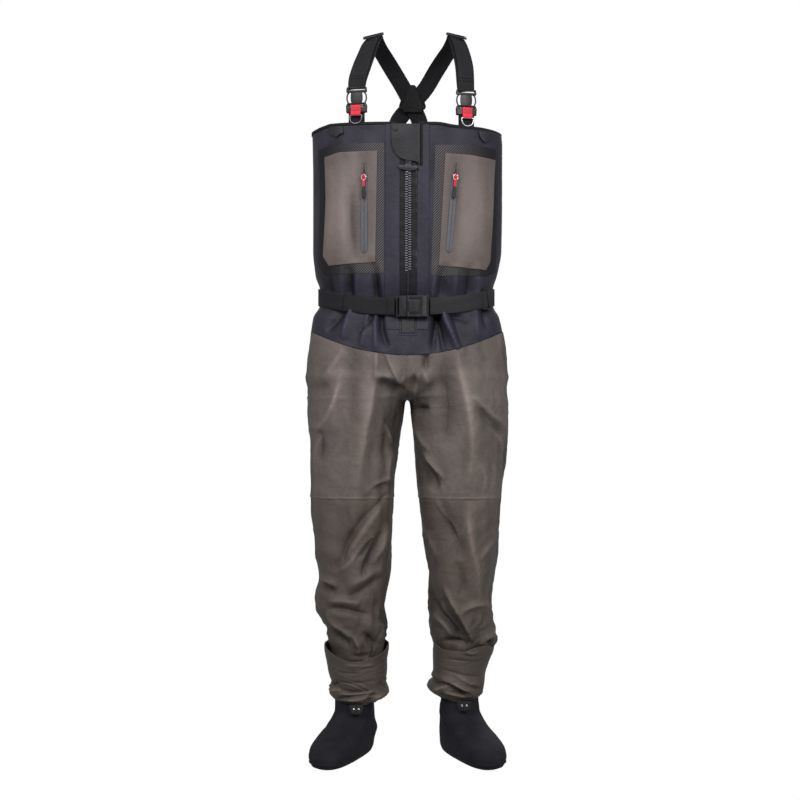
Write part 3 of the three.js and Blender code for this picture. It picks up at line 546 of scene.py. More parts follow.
def refined(node_name, edge, body="garment"):
    """A CAD node's shape with its sharp moulding edges rounded off, in black acetal; edge is in metres."""
    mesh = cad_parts[node_name].data.copy()
    mesh.uv_layers.active_index = -1
    while mesh.uv_layers:
        mesh.uv_layers.remove(mesh.uv_layers[0])
    weld(mesh, lambda work: bmesh.ops.dissolve_limit(work, angle_limit=0.02, verts=work.verts,
                                                     edges=work.edges))
    made = link(node_name + "_moulded", mesh, PLASTIC, body, replaces=[node_name])
    smooth_faces(mesh)
    modify(made, "BEVEL", width=edge, segments=3, limit_method="ANGLE", angle_limit=0.6, harden_normals=True)
    mesh = evaluated(made)
    made.modifiers.clear()
    made.data = mesh


def ribbon(name, centres, normals, material, width=WEB_WIDTH, thick=WEB_THICKNESS, **where):
    """Webbing along a line, face square to the normals, with soft edges."""
    centres, normals = np.array(centres, float), np.array(normals, float)
    tangents = unit(np.gradient(centres, axis=0))
    side = unit(np.cross(tangents, normals))
    out = np.cross(side, tangents)
    u = np.array([-1, -0.985, -0.94, -0.5, 0, 0.5, 0.94, 0.985, 1])
    v = np.array([0, 0.7, 1, 1, 1, 1, 1, 0.7, 0])
    section_u = np.concatenate([u, u[-2:0:-1]])
    section_v = np.concatenate([v, -v[-2:0:-1]])
    points = (centres[:, None] + side[:, None] * (section_u[None, :, None] * width / 2)
              + out[:, None] * (section_v[None, :, None] * thick / 2))
    flat = np.stack(np.broadcast_arrays(section_u * width / 2000, run_of(centres)[:, None] / 1000), axis=-1)
    rows, columns = points.shape[:2]
    faces = grid_faces(rows, columns, ring=True) + end_faces(rows, columns)
    return piece(name, points.reshape(-1, 3), faces, material, flat.reshape(-1, 2), **where)


def bent_ribbon(name, seat, points, count, material, width, thick, **where):
    """Webbing bent in its seat's YZ plane."""
    line = smooth_line(points, count)
    along = np.gradient(line, axis=0)
    facing = np.stack([0 * along[:, 0], -along[:, 2], along[:, 1]], axis=-1)
    ribbon(name, seated(seat, line), seated(seat.to_3x3(), facing), material, width, thick, **where)


def tube(name, line, radius, material, closed=False, sides=10, **where):
    """A round wire or cord along a line, closed at its ends or on itself."""
    line = np.array(line, float)
    tangents = unit(np.roll(line, -1, 0) - np.roll(line, 1, 0) if closed else np.gradient(line, axis=0))
    side = np.cross(tangents, [0.13, 0.31, 0.94])
    for i in range(1, len(line)):
        side[i] = side[i - 1] - tangents[i] * (side[i - 1] @ tangents[i])
    side = unit(side)
    up = np.cross(tangents, side)
    turn = (np.arange(sides) / sides * 2 * math.pi)[None, :, None]
    points = line[:, None] + radius * (np.cos(turn) * side[:, None] + np.sin(turn) * up[:, None])
    faces = grid_faces(len(line), sides, ring=True)
    last = (len(line) - 1) * sides
    if closed:
        turned = math.atan2(side[0] @ up[-1], side[0] @ side[-1])
        jump = round(turned / (2 * math.pi) * sides)
        faces += [(last + (c + jump) % sides, last + (c + 1 + jump) % sides, (c + 1) % sides, c)
                  for c in range(sides)]
    else:
        faces += end_faces(len(line), sides)
    piece(name, points.reshape(-1, 3), faces, material, **where)


def plate(name, outlines, thick, edge, seat, material, **where):
    """A moulded plate with rounded edges: the first outline less the others, in the XZ plane of its seat."""
    curve = bpy.data.curves.new(name, "CURVE")
    curve.dimensions = "2D"
    curve.fill_mode = "BOTH"
    curve.extrude = thick / 2 - edge
    curve.bevel_depth = edge
    curve.bevel_resolution = 2
    curve.offset = -edge
    for outline in outlines:
        spline = curve.splines.new("POLY")
        spline.points.add(len(outline) - 1)
        spline.points.foreach_set("co", [c for p in outline for c in (p[0], p[1], 0, 1)])
        spline.use_cyclic_u = True
    holder = add(name, curve)
    mesh = evaluated(holder)
    bpy.data.objects.remove(holder)
    mesh.transform(seat @ Matrix.Rotation(math.pi / 2, 4, "X"))
    mesh.transform(shift(z=-HANG / 1000) @ Matrix.Scale(0.001, 4))
    weld(mesh)
    smooth_faces(mesh)
    link(name, mesh, material, **where)
    mesh.set_sharp_from_angle(angle=0.9)


# ---- Materials ----------------------------------------------------------------------------

def linear(colour):
    values = [v / 255 for v in colour]
    return (*(c / 12.92 if c <= 0.04045 else ((c + 0.055) / 1.055) ** 2.4 for c in values), 1)


def shader(name, colour, roughness, metallic=0.0, specular=0.3):
    made = bpy.data.materials.new(name)
    made.use_nodes = True
    inputs = made.node_tree.nodes["Principled BSDF"].inputs
    inputs["Base Color"].default_value = linear(colour)
    inputs["Roughness"].default_value = roughness
    inputs["Metallic"].default_value = metallic
    inputs["Specular IOR Level"].default_value = specular
    return made


def node(made, kind, *feeds, **values):
    """Adds a node; feeds are (input, node, output), values are inputs or properties."""
    new = made.node_tree.nodes.new(kind)
    for key, value in values.items():
        label = key.replace("_", " ")
        if label in new.inputs and not hasattr(new, key):
            new.inputs[label].default_value = value
        else:
            setattr(new, key, value)
    for socket, source, output in feeds:
        made.node_tree.links.new(source.outputs[output], new.inputs[socket])
    return new


def feed(made, source, output, name):
    """Links a node's output to an input of the material's shader."""
    made.node_tree.links.new(source.outputs[output], made.node_tree.nodes["Principled BSDF"].inputs[name])


def recolour(made, kind, entry, **values):
    """Puts a node between the colour so far and the shader."""
    so_far = made.node_tree.nodes["Principled BSDF"].inputs["Base Color"].links[0].from_socket
    new = node(made, kind, **values)
    made.node_tree.links.new(so_far, new.inputs[entry])
    return new


def place(made, stretch=(1, 1, 1), flat=False, turn=0.0):
    """The place on the piece, in metres, stretched and turned: from its own frame, or along its cloth."""
    if flat:
        source = node(made, "ShaderNodeUVMap", uv_map="flat")
    else:
        source = node(made, "ShaderNodeTexCoord")
    output = "UV" if flat else "Object"
    return node(made, "ShaderNodeMapping", ("Vector", source, output), Scale=stretch, Rotation=(0, turn, 0))


def noise(made, scale, detail=3.0, stretch=(1, 1, 1), rough=0.5, flat=False):
    return node(made, "ShaderNodeTexNoise", ("Vector", place(made, stretch, flat), "Vector"),
                Scale=scale, Detail=detail, Roughness=rough)


def ribs(made, scale, direction="X", flat=False, turn=0.0):
    return node(made, "ShaderNodeTexWave", ("Vector", place(made, flat=flat, turn=turn), "Vector"),
                Scale=scale, bands_direction=direction)


def ranged(made, source, output, low, high, start=0.0, stop=1.0):
    """Maps a node's output from between start and stop to between low and high."""
    return node(made, "ShaderNodeMapRange", ("Value", source, output),
                From_Min=start, From_Max=stop, To_Min=low, To_Max=high)


def mottle(made, colour, other, source, low=0.3, high=0.7):
    """Varies the colour between two by a texture."""
    ramp = node(made, "ShaderNodeValToRGB", ("Fac", source, 0))
    for stop, at, shade in zip(ramp.color_ramp.elements, (low, high), (colour, other)):
        stop.position = at
        stop.color = linear(shade)
    feed(made, ramp, "Color", "Base Color")


def bumps(made, *layers):
    """Stacks bump layers: (texture, distance in metres, strength)."""
    last = None
    for source, distance, strength in layers:
        feeds = [("Height", source, 0)]
        if last:
            feeds.append(("Normal", last, "Normal"))
        last = node(made, "ShaderNodeBump", *feeds, Distance=distance, Strength=strength)
    feed(made, last, "Normal", "Normal")


def worn(made, low, high, source):
    """Varies the roughness between two values by a texture."""
    feed(made, ranged(made, source, 0, low, high), 0, "Roughness")


def paint_shading_and_threads(made, contrast=0.95):
    """Paints light and shade into the colour: painted highlights at the cloth's fold ridges and painted shade
    in the valleys of its folds, read from each point's shading values and mixed with a fine thread noise.
    """
    height = node(made, "ShaderNodeAttribute", attribute_name="painted_shade_and_tone")
    # each point's painted fold highlights and shade, plus a fine thread noise
    shade_and_threads = node(made, "ShaderNodeMath", (0, noise(made, 190, 4, (1, 1, 2.6), 0.65), 0), (2, height, "Fac"),
                   operation="MULTIPLY_ADD")
    shade_and_threads.inputs[1].default_value = 7
    spread = ranged(made, shade_and_threads, 0, 1 - contrast, 1 + contrast, -6.5, 13.5)
    scale = recolour(made, "ShaderNodeVectorMath", 0, operation="SCALE")
    made.node_tree.links.new(spread.outputs[0], scale.inputs["Scale"])
    feed(made, scale, 0, "Base Color")


def darker_below(made, colour, height, depth):
    """Multiplies the colour down over a stretch below a height, in millimetres above the soles."""
    split = node(made, "ShaderNodeSeparateXYZ", ("Vector", place(made), "Vector"))
    fall = ranged(made, split, "Z", 1, 0, (height - depth - HANG) / 1000, (height - HANG) / 1000)
    mix = recolour(made, "ShaderNodeMix", 6, data_type="RGBA", blend_type="MULTIPLY")
    made.node_tree.links.new(fall.outputs[0], mix.inputs["Factor"])
    mix.inputs[7].default_value = (*colour, 1)
    feed(made, mix, 2, "Base Color")


def laminate(name, colour, other, crinkle=1.0):
    """Laminated shell cloth: plain weave, soft crinkles and slightly uneven dye, with a satin film, and
    painted highlights on its fold ridges and painted shade in its fold valleys.
    """
    made = shader(name, colour, 0.56, specular=0.26)
    mottle(made, colour, other, noise(made, 9, 5, (1, 1, 0.45)), 0.35, 0.68)
    paint_shading_and_threads(made)
    worn(made, 0.46, 0.62, noise(made, 40, 4))
    bumps(made,
          (noise(made, 15, 5, (1, 1, 0.55), 0.55), 0.010 * crinkle, 0.6),
          (noise(made, 42, 4, (1, 1, 1.3), 0.6), 0.003 * crinkle, 0.6),
          (noise(made, 900, 2), 0.0002, 0.35),
          (ribs(made, 420, "Z"), 0.00012, 0.4))
    return made


def hatched(name):
    """Grip cloth: diagonal print lines on the navy shell, strongest beside the zip and fading outwards."""
    made = shader(name, (40, 39, 46), 0.6, specular=0.25)
    lines = ribs(made, 73, turn=-math.pi / 4)
    split = node(made, "ShaderNodeSeparateXYZ", ("Vector", place(made), "Vector"))
    aside = node(made, "ShaderNodeMath", ("Value", split, "X"), operation="ABSOLUTE")
    fade = ranged(made, aside, 0, 1, 0.3, 0.08, 0.2)
    strength = node(made, "ShaderNodeMath", (0, lines, 0), (1, fade, 0), operation="MULTIPLY")
    mottle(made, (25, 24, 28), (92, 86, 88), strength, 0.34, 0.85)
    bumps(made, (lines, 0.0005, 0.6), (noise(made, 900, 2), 0.0002, 0.3))
    return made


def woven(name, colour, other, specular=0.25):
    """Webbing: ribs along it and a fine cross weave."""
    made = shader(name, colour, 0.7, specular=specular)
    mottle(made, colour, other, noise(made, 60, 4, (1, 0.2, 1), flat=True), 0.3, 0.75)
    bumps(made,
          (ribs(made, 150, flat=True), 0.0003, 0.5),
          (ribs(made, 320, "Y", flat=True), 0.00025, 0.5),
          (noise(made, 900, 2), 0.0002, 0.4))
    return made


def moulded(name, colour, roughness=0.42):
    """Moulded acetal: fine spark texture and rubbed patches."""
    made = shader(name, colour, roughness, specular=0.4)
    mottle(made, colour, [min(255, c + 9) for c in colour], noise(made, 120, 4), 0.4, 0.8)
    worn(made, roughness - 0.08, roughness + 0.14, noise(made, 180, 3))
    bumps(made, (noise(made, 2200, 2), 0.00012, 0.35))
    return made


def metal(name, colour, roughness):
    made = shader(name, colour, roughness, metallic=1.0, specular=0.5)
    worn(made, roughness - 0.06, roughness + 0.14, noise(made, 400, 4))
    bumps(made, (noise(made, 700, 3), 0.0001, 0.25))
    return made


def foam_knit(name, colour, other):
    """Neoprene with a knitted face."""
    made = shader(name, colour, 0.82, specular=0.1)
    mottle(made, colour, other, noise(made, 26, 4), 0.35, 0.75)
    bumps(made,
          (noise(made, 22, 3), 0.003, 0.25),
          (ribs(made, 380), 0.0002, 0.35),
          (ribs(made, 300, "Z"), 0.0002, 0.35))
    return made


NAVY = laminate("navy_shell", (33, 31, 42), (46, 43, 56), 0.8)
TAUPE = laminate("taupe_shell", (86, 79, 74), (99, 90, 87))
POCKET = laminate("pocket_shell", (88, 79, 77), (98, 88, 86), 0.6)
FACING = laminate("zip_facing", (38, 36, 48), (48, 45, 58), 0.7)
darker_below(TAUPE, (0.84, 0.81, 0.78), KNEE, 1)
darker_below(TAUPE, (0.72, 0.71, 0.7), KNEE, 330)
HATCH = hatched("hatch_print")
WEB = woven("webbing_black", (21, 21, 24), (29, 29, 33))
# A lighter copy of the black webbing: painted light for the belt's brighter side, on its adjusting layer and
# free end.
WEB_LIT = woven("webbing_lit_copy", (34, 34, 37), (44, 43, 47))
BINDING = woven("binding_tape", (18, 18, 21), (25, 25, 29))
PLASTIC = moulded("acetal_black", (22, 22, 25), 0.36)
PLASTIC_GREY = moulded("acetal_grey", (44, 44, 48), 0.36)
BUCKLE_KEY = moulded("buckle_key_black", (13, 13, 15))
RUBBER = laminate("coated_grey", (35, 33, 38), (44, 42, 46), 0.6)
RUBBER_DARK = moulded("rubber_dark", (14, 14, 16), 0.75)
GRIP = moulded("grip_black", (20, 20, 22), 0.5)
NEOPRENE = foam_knit("neoprene_knit", (30, 29, 35), (38, 37, 43))
COATED = moulded("zip_coating", (16, 16, 19), 0.26)
TEETH = moulded("zip_teeth", (104, 104, 110), 0.22)
STRIP = moulded("pocket_zip_tape", (78, 78, 86), 0.5)
RED = woven("red_webbing", (226, 38, 58), (240, 62, 80), 0.3)
CORD = moulded("red_cord", (226, 40, 58), 0.55)
STEEL = metal("nickel", (205, 205, 208), 0.24)
GUNMETAL = metal("dark_nickel", (120, 122, 126), 0.3)
THREAD = moulded("thread_grey", (104, 96, 90), 0.7)


# ---- Trousers -----------------------------------------------------------------------------

def seam_height(x):
    return SEAM_FRONT + SEAM_RISE * (x / 228) ** 2


def trouser_shape(x, y, z):
    """Below 1 inside the trousers, above 1 outside them; the hips and both legs run smoothly together."""
    middle, half, depth, _ = torso_at(np.maximum(z, 885))
    across = np.abs(x - middle) / half
    under = np.maximum(0, (HIPS - z) / 57) ** 2
    shapes = [(across**CHEST + (np.abs(y) / depth) ** CHEST + under) ** (1 / CHEST)]
    for side, table in LEGS.items():
        inner, outer, middle, depth = row_at(table, z)
        across = np.abs(side * x - (inner + outer) / 2) / ((outer - inner) / 2)
        leg = (across**LEG + (np.abs(y - middle) / depth) ** LEG) ** (1 / LEG)
        shapes.append(leg + np.maximum(0, z - HIPS) / 150)
    blend = 0.03
    return -blend * np.log(sum(np.exp(-s / blend) for s in shapes))


def find_skin(inside, reach, steps=34):
    """Halves the interval [0, reach] down to where inside(distance) turns false."""
    low, high = np.zeros_like(reach), reach.copy()
    for _ in range(steps):
        middle = (low + high) / 2
        within = inside(middle)
        low, high = np.where(within, middle, low), np.where(within, high, middle)
    return (low + high) / 2


def leg_grid(side, columns=172):
    """A leg's surface as rows of points, with both edges of each row on the inner seam."""
    base = np.unique(np.concatenate([np.arange(150, 952, 4.5), np.arange(828, 862, 1.6),
                                     np.arange(KNEE - 7, KNEE + 8, 1.4), [SEAM_FRONT]]))
    base = base[np.append(np.diff(base) > 0.9, True)][:, None]
    u = 2 * np.linspace(0, 1, columns) - 1
    z = np.repeat(base, columns, axis=1)
    climb = smooth((base - 860) / (SEAM_FRONT - 860))
    for _ in range(4):
        inner, outer, _, _ = row_at(LEGS[side], z)
        centre = (inner + outer) / 2
        crotch = find_skin(lambda y: trouser_shape(0 * z, y, z) < 1, z * 0 + 160, 26)
        short = 1 - np.abs(np.arctan2(-crotch, -centre)) / math.pi
        bend = np.minimum(10, 0.8 / np.maximum(short, 0.02))
        angle = math.pi * (u - short * np.sign(u) * np.abs(u) ** bend)
        r = find_skin(lambda r: trouser_shape(side * (centre + r * np.cos(angle)), r * np.sin(angle), z) < 1,
                      np.minimum(330, centre / np.maximum(1e-3, -np.cos(angle))))
        x, y = side * (centre + r * np.cos(angle)), r * np.sin(angle)
        z = base + (seam_height(x) - SEAM_FRONT) * climb
    return x, y, z, crotch > 0.5


def build_leg(name, side):
    x, y, z, joined = leg_grid(side)
    slope = np.stack([trouser_shape(x + dx, y + dy, z + dz) - trouser_shape(x - dx, y - dy, z - dz)
                      for dx, dy, dz in np.eye(3)], axis=-1)
    normal = unit(slope)
    front, back = smooth(-1.5 * normal[..., 1]), smooth(1.5 * normal[..., 1])
    lift = 2.0 * front * folded(LEG_FOLDS, x, z) + 1.6 * back * folded(LEG_BACK_FOLDS, x, z)
    own = (1.2 + 0.8 * smooth((420 - z) / 200)) * ripple(x + y, z, 90, 11 + side, 1.6)
    high = smooth((z - 740) / 80)
    own += crumple(x + 0.8 * y, z, 150, 31 + side, 1.5) * (1.6 + 1.6 * smooth((460 - z) / 160) - 0.8 * high)
    own += crumple(x + 0.6 * y, z, 70, 23 + side, 0.8) * (0.7 + 1.5 * smooth((430 - z) / 140))
    lift += own * (1 - bell(x / 16) * smooth((z - 815) / 25))
    lift += 0.9 * bell((z - KNEE) / 2.2) - 0.6 * bell((z - KNEE + 5) / 2)
    lift -= 1.6 * bell(x / 3) * smooth((z - 840) / 20)
    points = np.stack([x, y, z], axis=-1) + normal * lift[..., None]
    # Painted highlights on the folds' ridges and painted shade in their valleys, front and back.
    painted_shade_and_tone = front * fold_highlight_and_shade(LEG_FOLDS, x, z) + back * fold_highlight_and_shade(LEG_BACK_FOLDS, x, z)
    # A lighter line along the knee seam, then random tone.
    painted_shade_and_tone += 2.5 * bell((z - KNEE + 1) / 2.4)
    painted_shade_and_tone += 1.4 * ripple(x + y, z, 55, 61 + side, 3) + 0.8 * crumple(x + 0.7 * y, z, 40, 67 + side, 1.6)
    # Painted shade towards the leg's sides, where the surface turns away from the front and back.
    painted_shade_and_tone -= 6 * (1 - smooth(1.9 * np.abs(normal[..., 1])))
    edge = joined[:, [0, -1]] & (z[:, [0, -1]] > 838)
    points[:, [0, -1], 0] = np.where(edge, 0, points[:, [0, -1], 0])
    made = piece(f"{name}_leg", points.reshape(-1, 3), grid_faces(*x.shape), TAUPE, painted_shade_and_tone=painted_shade_and_tone,
                 replaces=[f"{name}_thigh", f"{name}_lower_leg"])


def build_guard(name, side):
    """A gravel guard: a loose cuff with an open rim, a stitched band and a crumpled, gathered lower part."""
    rows, columns = 84, 200
    angle = np.arange(columns) / columns * 2 * math.pi
    hem = GUARDS[side][0][0]
    inner, outer, _, _ = row_at(GUARDS[side], 250)
    across = side * (inner + outer) / 2 + (outer - inner) / 2 * power(np.cos(angle), LEG)
    front_rim = row_at(GUARD_RIMS[side], across)[0]
    rim = front_rim + (272 - front_rim) * smooth(1.4 * np.sin(angle))
    z = hem + (rim - hem) * np.linspace(0, 1, rows)[:, None]
    inner, outer, middle, depth = row_at(GUARDS[side], np.minimum(z, 258))
    x = side * (inner + outer) / 2 + (outer - inner) / 2 * power(np.cos(angle), LEG)
    y = middle + depth * power(np.sin(angle), LEG)
    normal = np.stack([np.cos(angle) + 0 * z, np.sin(angle) + 0 * z, 0 * z], axis=-1)
    s = angle * 70 + 0 * z
    front = smooth(-2.2 * normal[..., 1]) * smooth((z - hem - 3) / 8)
    behind = smooth(2.2 * normal[..., 1])
    low = smooth((196 - z) / 24) * smooth((z - hem) / 14)
    tilt = s - 1.1 * side * z
    lift = front * folded(GUARD_FOLDS[side], x, z)
    lift += low * behind * 3.4 * ripple(tilt, z, 120, 41 + side, 0.34)
    lift += low * behind * 3.2 * crumple(tilt, z, 130, 47 + side, 0.26)
    lift += low * 1.6 * crumple(tilt, z, 60, 47 + side, 0.5)
    lift += 1.2 * smooth((z - 196) / 20) * ripple(s, z, 110, 53 + side, 0.8)
    lift += -0.7 * bell((z - rim + 22) / 1.8) - 0.5 * bell((z - rim + 36) / 1.6)
    lift += 1.2 * np.sin(angle * 46 + 2 * np.sin(angle * 5)) * bell((z - hem - 4) / 7)
    lift += -4.5 * smooth((hem + 11 - z) / 9)
    wavy = z + 2.0 * np.sin(angle * 5 + side) * smooth((hem + 14 - z) / 14)
    outside = np.stack([x, y, wavy], axis=-1) + normal * lift[..., None]
    # Painted highlights on the front folds' ridges and painted shade in their valleys.
    made = piece(f"{name}_guard", outside.reshape(-1, 3), grid_faces(rows, columns, ring=True), TAUPE,
                 painted_shade_and_tone=1.4 * front * fold_highlight_and_shade(GUARD_FOLDS[side], x, z), replaces=[f"{name}_gravel_guard"])
    modify(made, "SOLIDIFY", thickness=0.0022, offset=-1)


def foot_ring(side, height, heel, toe, half, shrink, columns):
    angle = np.arange(columns) / columns * 2 * math.pi
    reach = (toe - heel) / 2 - shrink
    slender = min(1, reach / 200)
    square = 2.15 + 0.3 * smooth((slender - 0.35) / 0.3)
    along = (heel + toe) / 2 + reach * power(-np.sin(angle), square)
    ball, back = np.maximum(-np.sin(angle), 0), np.maximum(np.sin(angle), 0)
    lean = (1 + slender * (0.3 * ball - 0.2 * back)) * (1 + 0.1 * slender * side * np.cos(angle))
    across = (half - shrink) * power(np.cos(angle), square) * lean
    turn = side * TOE_OUT[side]
    x = side * ANKLE_X + math.cos(turn) * across + math.sin(turn) * along
    y = math.sin(turn) * across - math.cos(turn) * along
    return np.stack([x, y, 0 * x + height], axis=-1)


def build_sock(name, side):
    columns = 120
    rings = [foot_ring(side, 0, *FOOT[0][1:], shrink, columns) for shrink in (30, 20, 10, 4)]
    for height in np.concatenate([np.linspace(0, 22, 9), np.linspace(26, 149, 40)]):
        ring = foot_ring(side, height, *row_at(FOOT, height), 0, columns)
        x, y, z = ring.T
        lift = -1.3 * smooth((-y - 130) / 40) * bell((height - 20) / 2.4)
        lift = lift + 1.2 * smooth((height - 60) / 30) * ripple(x + y, z, 46, 61 + side)
        if side < 0:
            heel_side = smooth((x + 96) / 22) * smooth((y + 40) / 40)
            lift = lift + 11 * heel_side * bell((height - 58) / 20)
        rings.append(ring + unit(ring - ring.mean(axis=0)) * lift[:, None])
    faces = grid_faces(len(rings), columns, ring=True) + [tuple(range(columns))]
    made = piece(f"{name}_stocking_foot", np.vstack(rings), faces, NEOPRENE, replaces=[f"{name}_sock"])
    modify(made, "SOLIDIFY", thickness=0.0038, offset=-1)
    seam = foot_ring(side, 15, *row_at(FOOT, 15), -0.5, columns)
    front = seam[seam[:, 1] < -60]
    order = np.argsort(np.arctan2(front[:, 1] + 60, side * (front[:, 0] - side * ANKLE_X)))
    tube(f"{name}_toe_seam", smooth_line(front[order], 60), 0.9, RUBBER_DARK, slot="neoprene")


def build_hook(name, side):
    """The lace hook: a dark tab with two rivets, hinged at the hem."""
    x, z, lean = HOOKS[side]
    seat = shift(x, -66, z) @ Matrix.Rotation(-lean, 4, "X")
    hook = f"{name}_lace_hook"
    outline = both_sides([(18, 0), (15, -12), (10, -22)], 5)
    plate(f"{name}_hook_tab", [outline], 2.0, 0.7, seat @ shift(y=-1.2), RUBBER_DARK, body=hook,
          replaces=[hook])
    for i, x in enumerate((-5.5, 5.5)):
        plate(f"{name}_hook_rivet_{i}", [circle(2.3, 19, x, -10), circle(0.7, 13, x, -10)], 1.6, 0.5,
              seat @ shift(y=-2.7), STEEL, body=hook)
    wire = smooth_line([(0, -2.6, -16), (0, -4.4, -19), (0, -3.6, -24), (0, -0.6, -26), (0, 1.0, -22)], 24)
    tube(f"{name}_hook_wire", seated(seat, wire), 1.0, GRIP, body=hook, slot="gunmetal")


# ---- Bib ----------------------------------------------------------------------------------

def bib_lift(x, z):
    lift = folded(BIB_FOLDS, x, z) * smooth((WAIST_FOLDS_TOP - z) / 30)
    lift = lift + folded(BIB_FOLDS[-6:], x, z) * smooth((z - 1175) / 30)
    calm = smooth((np.abs(x - ZIP_X) - 22) / 20)
    return (1.4 + 0.35 * smooth((1070 - z) / 30)) * lift + 0.7 * ripple(x, z, 120, 5, 1.5) * calm


def back_lift(x, z):
    """The back's folds, pressed flat around the belt's lower edge."""
    lift = folded(BIB_BACK_FOLDS, x, z) + 1.5 * ripple(x, z, 150, 6, 1.8)
    return lift - smooth((32 - np.abs(z - BACK_PRESS)) / 10) * np.maximum(lift - 0.4, 0)


def on_chest(x, z, off):
    """The place on the front of the bib at x and z, with its folds, at a distance in front of the shell."""
    x, z = np.broadcast_arrays(np.asarray(x, float), np.asarray(z, float))
    height = z
    for _ in range(14):
        middle, half, depth, drop = torso_at(height)
        across = np.clip(np.abs(x - middle) / half, 0, 0.9995)
        height = z + drop * (1 - across**CHEST)
    across = np.clip(np.abs(x - middle) / (half + off), 0, 0.9995)
    deep = (1 - across**CHEST) ** (1 / CHEST)
    nx = np.sign(x - middle) * across ** (CHEST - 1) / (half + off)
    ny = -(deep ** (CHEST - 1)) / (depth + off)
    size = np.hypot(nx, ny)
    lift = bib_lift(x, z) * smooth(deep / 0.5)
    return np.stack([x + nx / size * lift, -(depth + off) * deep + ny / size * lift, z], axis=-1)


def unit_ring(columns):
    """Points evenly spaced round the unit torso section, from the front middle by the wearer's left."""
    t = np.linspace(-math.pi / 2, 1.5 * math.pi, 20001)
    ring = np.stack([power(np.cos(t), CHEST) * 1.8, power(np.sin(t), CHEST)], axis=-1)
    x, y = walk(ring, np.linspace(0, 1, columns)).T
    return x / 1.8, y


def rim_droop(x, y):
    """How far the rim lies below its highest line, fading out round the back; y is negative at the front."""
    return row_at(RIM_DROP, x)[0] * (1 - 0.7 * smooth(2 * y))


def build_bib():
    columns = 330
    ux, uy = unit_ring(columns)
    ux[[0, -1]], uy[[0, -1]] = 0, -1
    share = np.unique(np.concatenate([np.linspace(0, 0.44, 74), np.linspace(0.44, 1, 52)]))[:, None]
    forward = np.maximum(0, -uy) ** CHEST
    bottom = np.full(columns, 960.0)
    for _ in range(8):
        middle, half, _, drop = torso_at(bottom)
        bottom = seam_height(middle + half * ux) + drop * forward
    middle, half, _, _ = torso_at(RIM)
    height = bottom + (RIM - rim_droop(middle + half * ux, uy) - bottom) * share
    middle, half, depth, drop = torso_at(height)
    first = np.arange(columns) < columns / 2
    slit = 5.6 * smooth((height - 1022) / 14)
    away = np.abs(ux) * half
    aside = (ZIP_X - middle) * bell(away / 30) + np.where(first, 1, -1) * slit * np.exp(-away / 24)
    ux = np.clip(ux + aside * (uy < 0) / half, -1, 1)
    uy = np.where(uy < 0, -((1 - np.abs(ux) ** CHEST) ** (1 / CHEST)), uy)
    x, z = middle + half * ux, height - drop * forward
    nx, ny = np.sign(ux) * np.abs(ux) ** (CHEST - 1) / half, np.sign(uy) * np.abs(uy) ** (CHEST - 1) / depth
    size = np.hypot(nx, ny)
    lift = np.where(uy < 0, bib_lift(x, z), back_lift(x, z)) * smooth(np.abs(uy) / 0.5)
    points = np.stack([x + nx / size * lift, depth * uy + ny / size * lift, z], axis=-1)
    low = smooth((WAIST_FOLDS_TOP - z) / 30)
    # Painted highlights on the fold ridges and painted shade in their valleys, stronger at the waist, with
    # random tone.
    painted_shade_and_tone = np.where(uy < 0, fold_highlight_and_shade(BIB_FOLDS, x, z), fold_highlight_and_shade(BIB_BACK_FOLDS, x, z)) * (0.4 + 1.0 * low)
    painted_shade_and_tone += 2.4 * ripple(x, z, 40, 77, 4) + 0.8 * crumple(x, z, 34, 79, 2)
    made = piece("bib_cloth", points.reshape(-1, 3), grid_faces(*x.shape), NAVY, painted_shade_and_tone=painted_shade_and_tone,
                 replaces=["bib_shell"])
    modify(made, "SOLIDIFY", thickness=0.0012, offset=-1)


def patch(bottom, right, top, left, step, rim):
    """Places (x, z) over a patch between its four edges, and how near each is to the rim, from 0 to 1."""
    sizes = [max(run_of(a)[-1], run_of(b)[-1]) for a, b in ((bottom, top), (left, right))]
    shares = []
    for size in sizes:
        inset = np.array([0, 0.35, 0.7, 1]) * rim / size
        inner = np.linspace(inset[-1], 1 - inset[-1], max(3, int(size / step)))
        shares.append(np.unique(np.concatenate([inset, inner, 1 - inset])))
    u, v = shares[0][None, :, None], shares[1][:, None, None]
    b, t = walk(bottom, shares[0])[None], walk(top, shares[0])[None]
    w, e = walk(left, shares[1])[:, None], walk(right, shares[1])[:, None]
    corners = ((1 - u) * (1 - v) * b[:, :1] + u * (1 - v) * b[:, -1:]
               + (1 - u) * v * t[:, :1] + u * v * t[:, -1:])
    places = (1 - v) * b + v * t + (1 - u) * w + u * e - corners
    near = np.minimum(np.minimum(u, 1 - u) * sizes[0], np.minimum(v, 1 - v) * sizes[1])[..., 0] / rim
    return places[..., 0], places[..., 1], np.clip(near, 0, 1)


def chest_sheet(name, edges, low, high, material, extra=None, step=5.0, back=False, rim=SOFT_EDGE, **where):
    """A sheet lying on the chest, rounded down at its rim; extra lifts it more, back adds its underside."""
    x, z, near = patch(*edges, step, rim)
    more = extra(x, z) if extra else 0 * x
    round_off = np.sqrt(1 - (1 - near) ** 2)
    top = on_chest(x, z, low + (high - low + more) * round_off)
    points, faces = top.reshape(-1, 3), grid_faces(*x.shape)
    flat = np.stack([x, z], axis=-1).reshape(-1, 2) / 1000
    # Painted highlights where extra lifts the sheet and painted shade where it sinks, with random tone.
    painted_shade_and_tone = (1.8 * more + 1.2 * ripple(x, z, 50, 83, 4) + 0.4 * crumple(x, z, 70, 85, 2)).ravel()
    if back:
        painted_shade_and_tone = np.tile(painted_shade_and_tone, 2)
        under = on_chest(x, z, low + (more + 0.02) * round_off - 0.02).reshape(-1, 3)
        faces += [tuple(i + len(flat) for i in face[::-1]) for face in faces]
        points, flat = np.vstack([points, under]), np.vstack([flat, flat])
    return piece(name, points, faces, material, flat, painted_shade_and_tone, **where)


